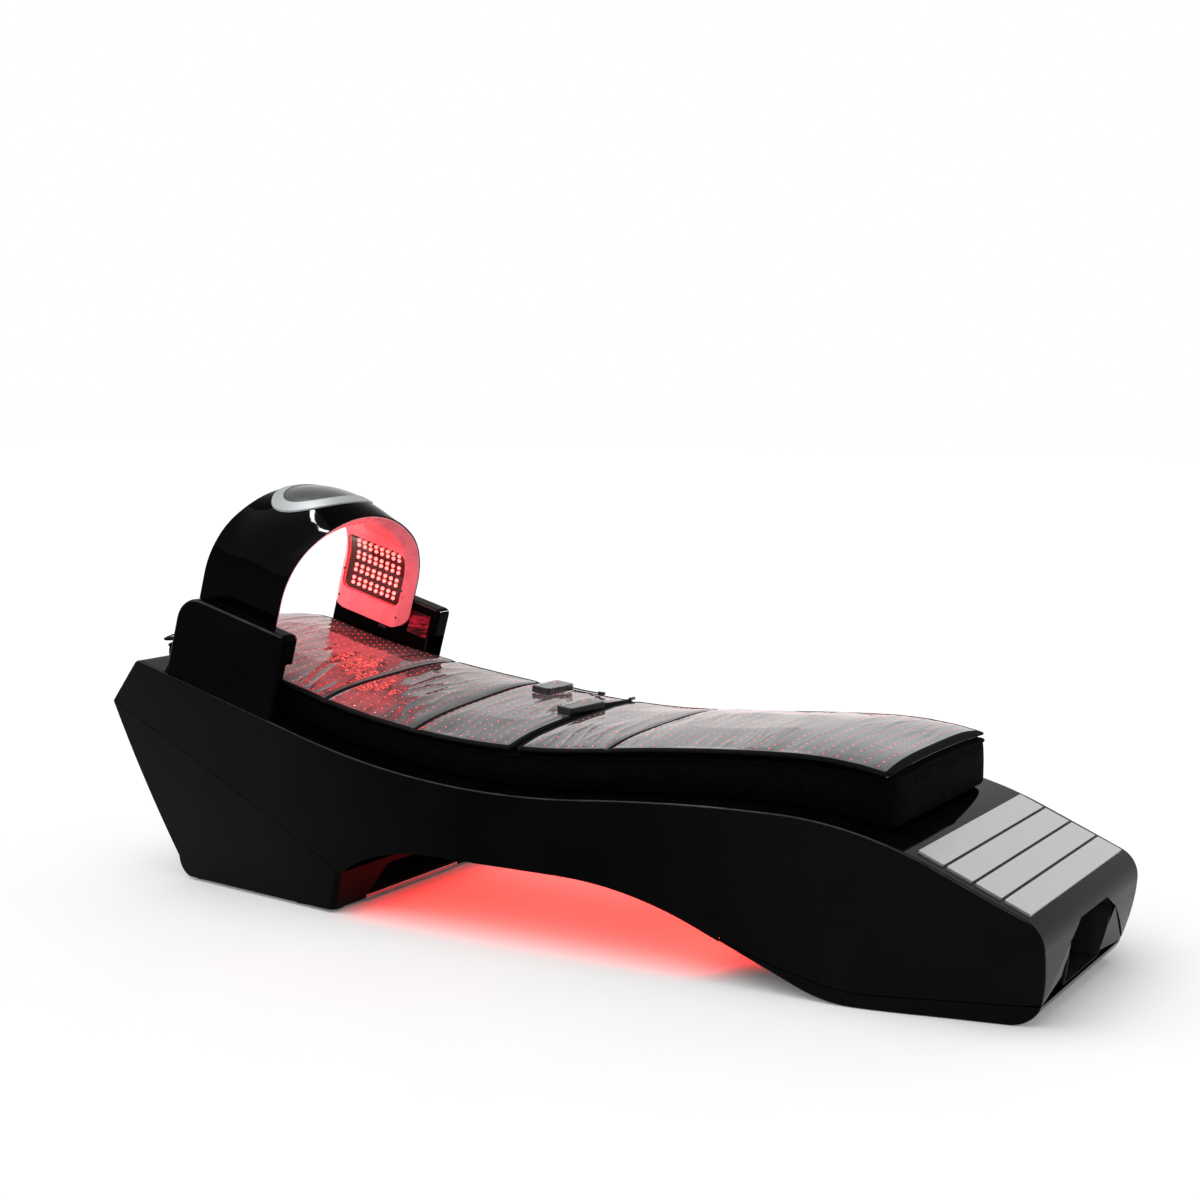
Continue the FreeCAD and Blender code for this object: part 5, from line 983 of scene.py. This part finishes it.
# Leads
def make_lead(name, points):
    curve = bpy.data.curves.new(name + "_cord", "CURVE")
    curve.dimensions = "3D"
    curve.bevel_depth = LEAD_DIAMETER / 2
    curve.bevel_resolution = 5
    curve.use_fill_caps = True
    spline = curve.splines.new("NURBS")
    spline.points.add(len(points) - 1)
    for point, place in zip(spline.points, points):
        point.co = (*place, 1)
    spline.order_u = 3
    spline.use_endpoint_u = True
    spline.resolution_u = 12
    curve.materials.append(MATERIALS["rubber_black"])
    cord = bpy.data.objects.new(name + "_cord", curve)
    bpy.context.scene.collection.objects.link(cord)
    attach(cord, "bed")
    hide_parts(name + "_lead")
    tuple(points[0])


# Stage
def make_camera():
    data = bpy.data.cameras.new("camera")
    data.lens = CAMERA_LENS
    data.sensor_width = CAMERA_SENSOR
    camera = bpy.data.objects.new("camera", data)
    bpy.context.scene.collection.objects.link(camera)
    over = CAMERA_RIGHT.cross(CAMERA_FORWARD)
    turn = Matrix((CAMERA_RIGHT, over, -CAMERA_FORWARD)).transposed()
    camera.matrix_world = Matrix.Translation(CAMERA_PLACE) @ turn.to_4x4()
    bpy.context.scene.camera = camera


def make_floor():
    mesh = bpy.data.meshes.new("floor")
    corners = [(FLOOR_REACH * x, FLOOR_REACH * y, 0) for x, y in ((-1, -1), (1, -1), (1, 1), (-1, 1))]
    mesh.from_pydata(corners, [], [(0, 1, 2, 3)])
    mesh.materials.append(floor_white())
    floor = bpy.data.objects.new("floor", mesh)
    bpy.context.scene.collection.objects.link(floor)
    floor.location.z = -FLOOR_DROP


def make_world():
    """White near the horizon, greyer overhead, as in a studio with a pale sweep."""
    world = bpy.data.worlds.new("studio")
    world.use_nodes = True
    tree = world.node_tree
    where = tree.nodes.new("ShaderNodeTexCoord")
    parts = tree.nodes.new("ShaderNodeSeparateXYZ")
    tree.links.new(where.outputs["Generated"], parts.inputs["Vector"])
    level = spread(tree, parts.outputs["Z"], 1.0, CEILING_LEVEL, *CEILING_RISE)
    sky = tree.nodes["Background"]
    sky.inputs["Color"].default_value = (1, 1, 1, 1)
    tree.links.new(level, sky.inputs["Strength"])
    bpy.context.scene.world = world


def sun_lamp():
    """One wide soft lamp from above, the same over the whole floor."""
    data = bpy.data.lights.new("overhead", "SUN")
    data.energy = SUN_LEVEL * math.pi
    data.angle = SUN_WIDTH
    lamp = bpy.data.objects.new("overhead", data)
    bpy.context.scene.collection.objects.link(lamp)
    lamp.matrix_world = SUN_WAY.to_track_quat("-Z", "Y").to_matrix().to_4x4()


def area_lamp(name, place, target, size, power, wide=180, colour=(1, 1, 1), body=None):
    """Lamp with a plain rectangle's face, set at a place and turned to a target."""
    data = bpy.data.lights.new(name, "AREA")
    data.shape = "RECTANGLE"
    data.size, data.size_y = size
    data.energy = power
    data.color = colour
    lamp = bpy.data.objects.new(name, data)
    bpy.context.scene.collection.objects.link(lamp)
    way = (Vector(target) - Vector(place)).normalized()
    lamp.matrix_world = Matrix.Translation(place) @ way.to_track_quat("-Z", "Y").to_matrix().to_4x4()
    data.spread = math.radians(wide)
    lamp.visible_camera = False
    if body:
        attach(lamp, body)
    return lamp


def gleam(name, place, target, size, power, wide):
    """White lamp that only shows as a gleam in polished faces."""
    lamp = area_lamp(name, place, target, size, power, wide)
    lamp.visible_diffuse = False


def red_glow(name, place, target, size, power, body, wide=180):
    """Red lamp of a lit part, which rides with its body and shows in no gloss."""
    lamp = area_lamp(name, place, target, size, power, wide, GLOW_RED, body)
    lamp.visible_glossy = False


def make_lamps():
    sun_lamp()
    gleam("box_beside", (0.18, 1.87, 1.42), (-0.9, 0, 1.0), (0.09, 0.28), 2.5, 50)
    gleam("tube_over", (-1.09, 0.36, 3.1), (-0.76, -0.14, 1.0), (0.10, 0.75), 9.0, 60)
    red_glow("arch_glow", (0.0, 0, 0.136), (0.0, 0, 0), (1.0, 0.60), 4.6, "bed", 90)
    red_glow("ramp_glow", (0.61, 0, 0.070), (0.592, 0, 0.023), (0.34, 0.60), 1.1, "bed", 120)
    for side in (1, -1):
        red_glow("dome_glow_side", (-0.86, side * 0.235, 0.86), (-0.86, 0, 0.80), (0.15, 0.16), 1.3, "dome")
    red_glow("dome_glow_top", (-0.84, 0, 0.985), (-0.88, 0, 0.7), (0.15, 0.3), 1.7, "dome")


# Making the scene
make_camera()
for lead_name, (lead_length, lead_points) in LEADS.items():
    make_lead(lead_name, lead_points)
dress_nodes()
make_mattress()
for handset_name in HANDSET_FRAMES:
    make_handset_marks(handset_name)
for mat_seed, mat_name in enumerate(MAT_SEAMS, 1):
    _, mat_find, mat_low, mat_high = make_mat(mat_name, mat_seed * 17.0)
    make_seam_tapes(mat_name, mat_find, mat_low, mat_high)
    make_binding(mat_name, mat_find, mat_low, mat_high)
    make_mat_lights(mat_name, mat_find, mat_low, mat_high)
make_floor()
make_world()
make_lamps()
bpy.context.scene.view_settings.view_transform = "Standard"
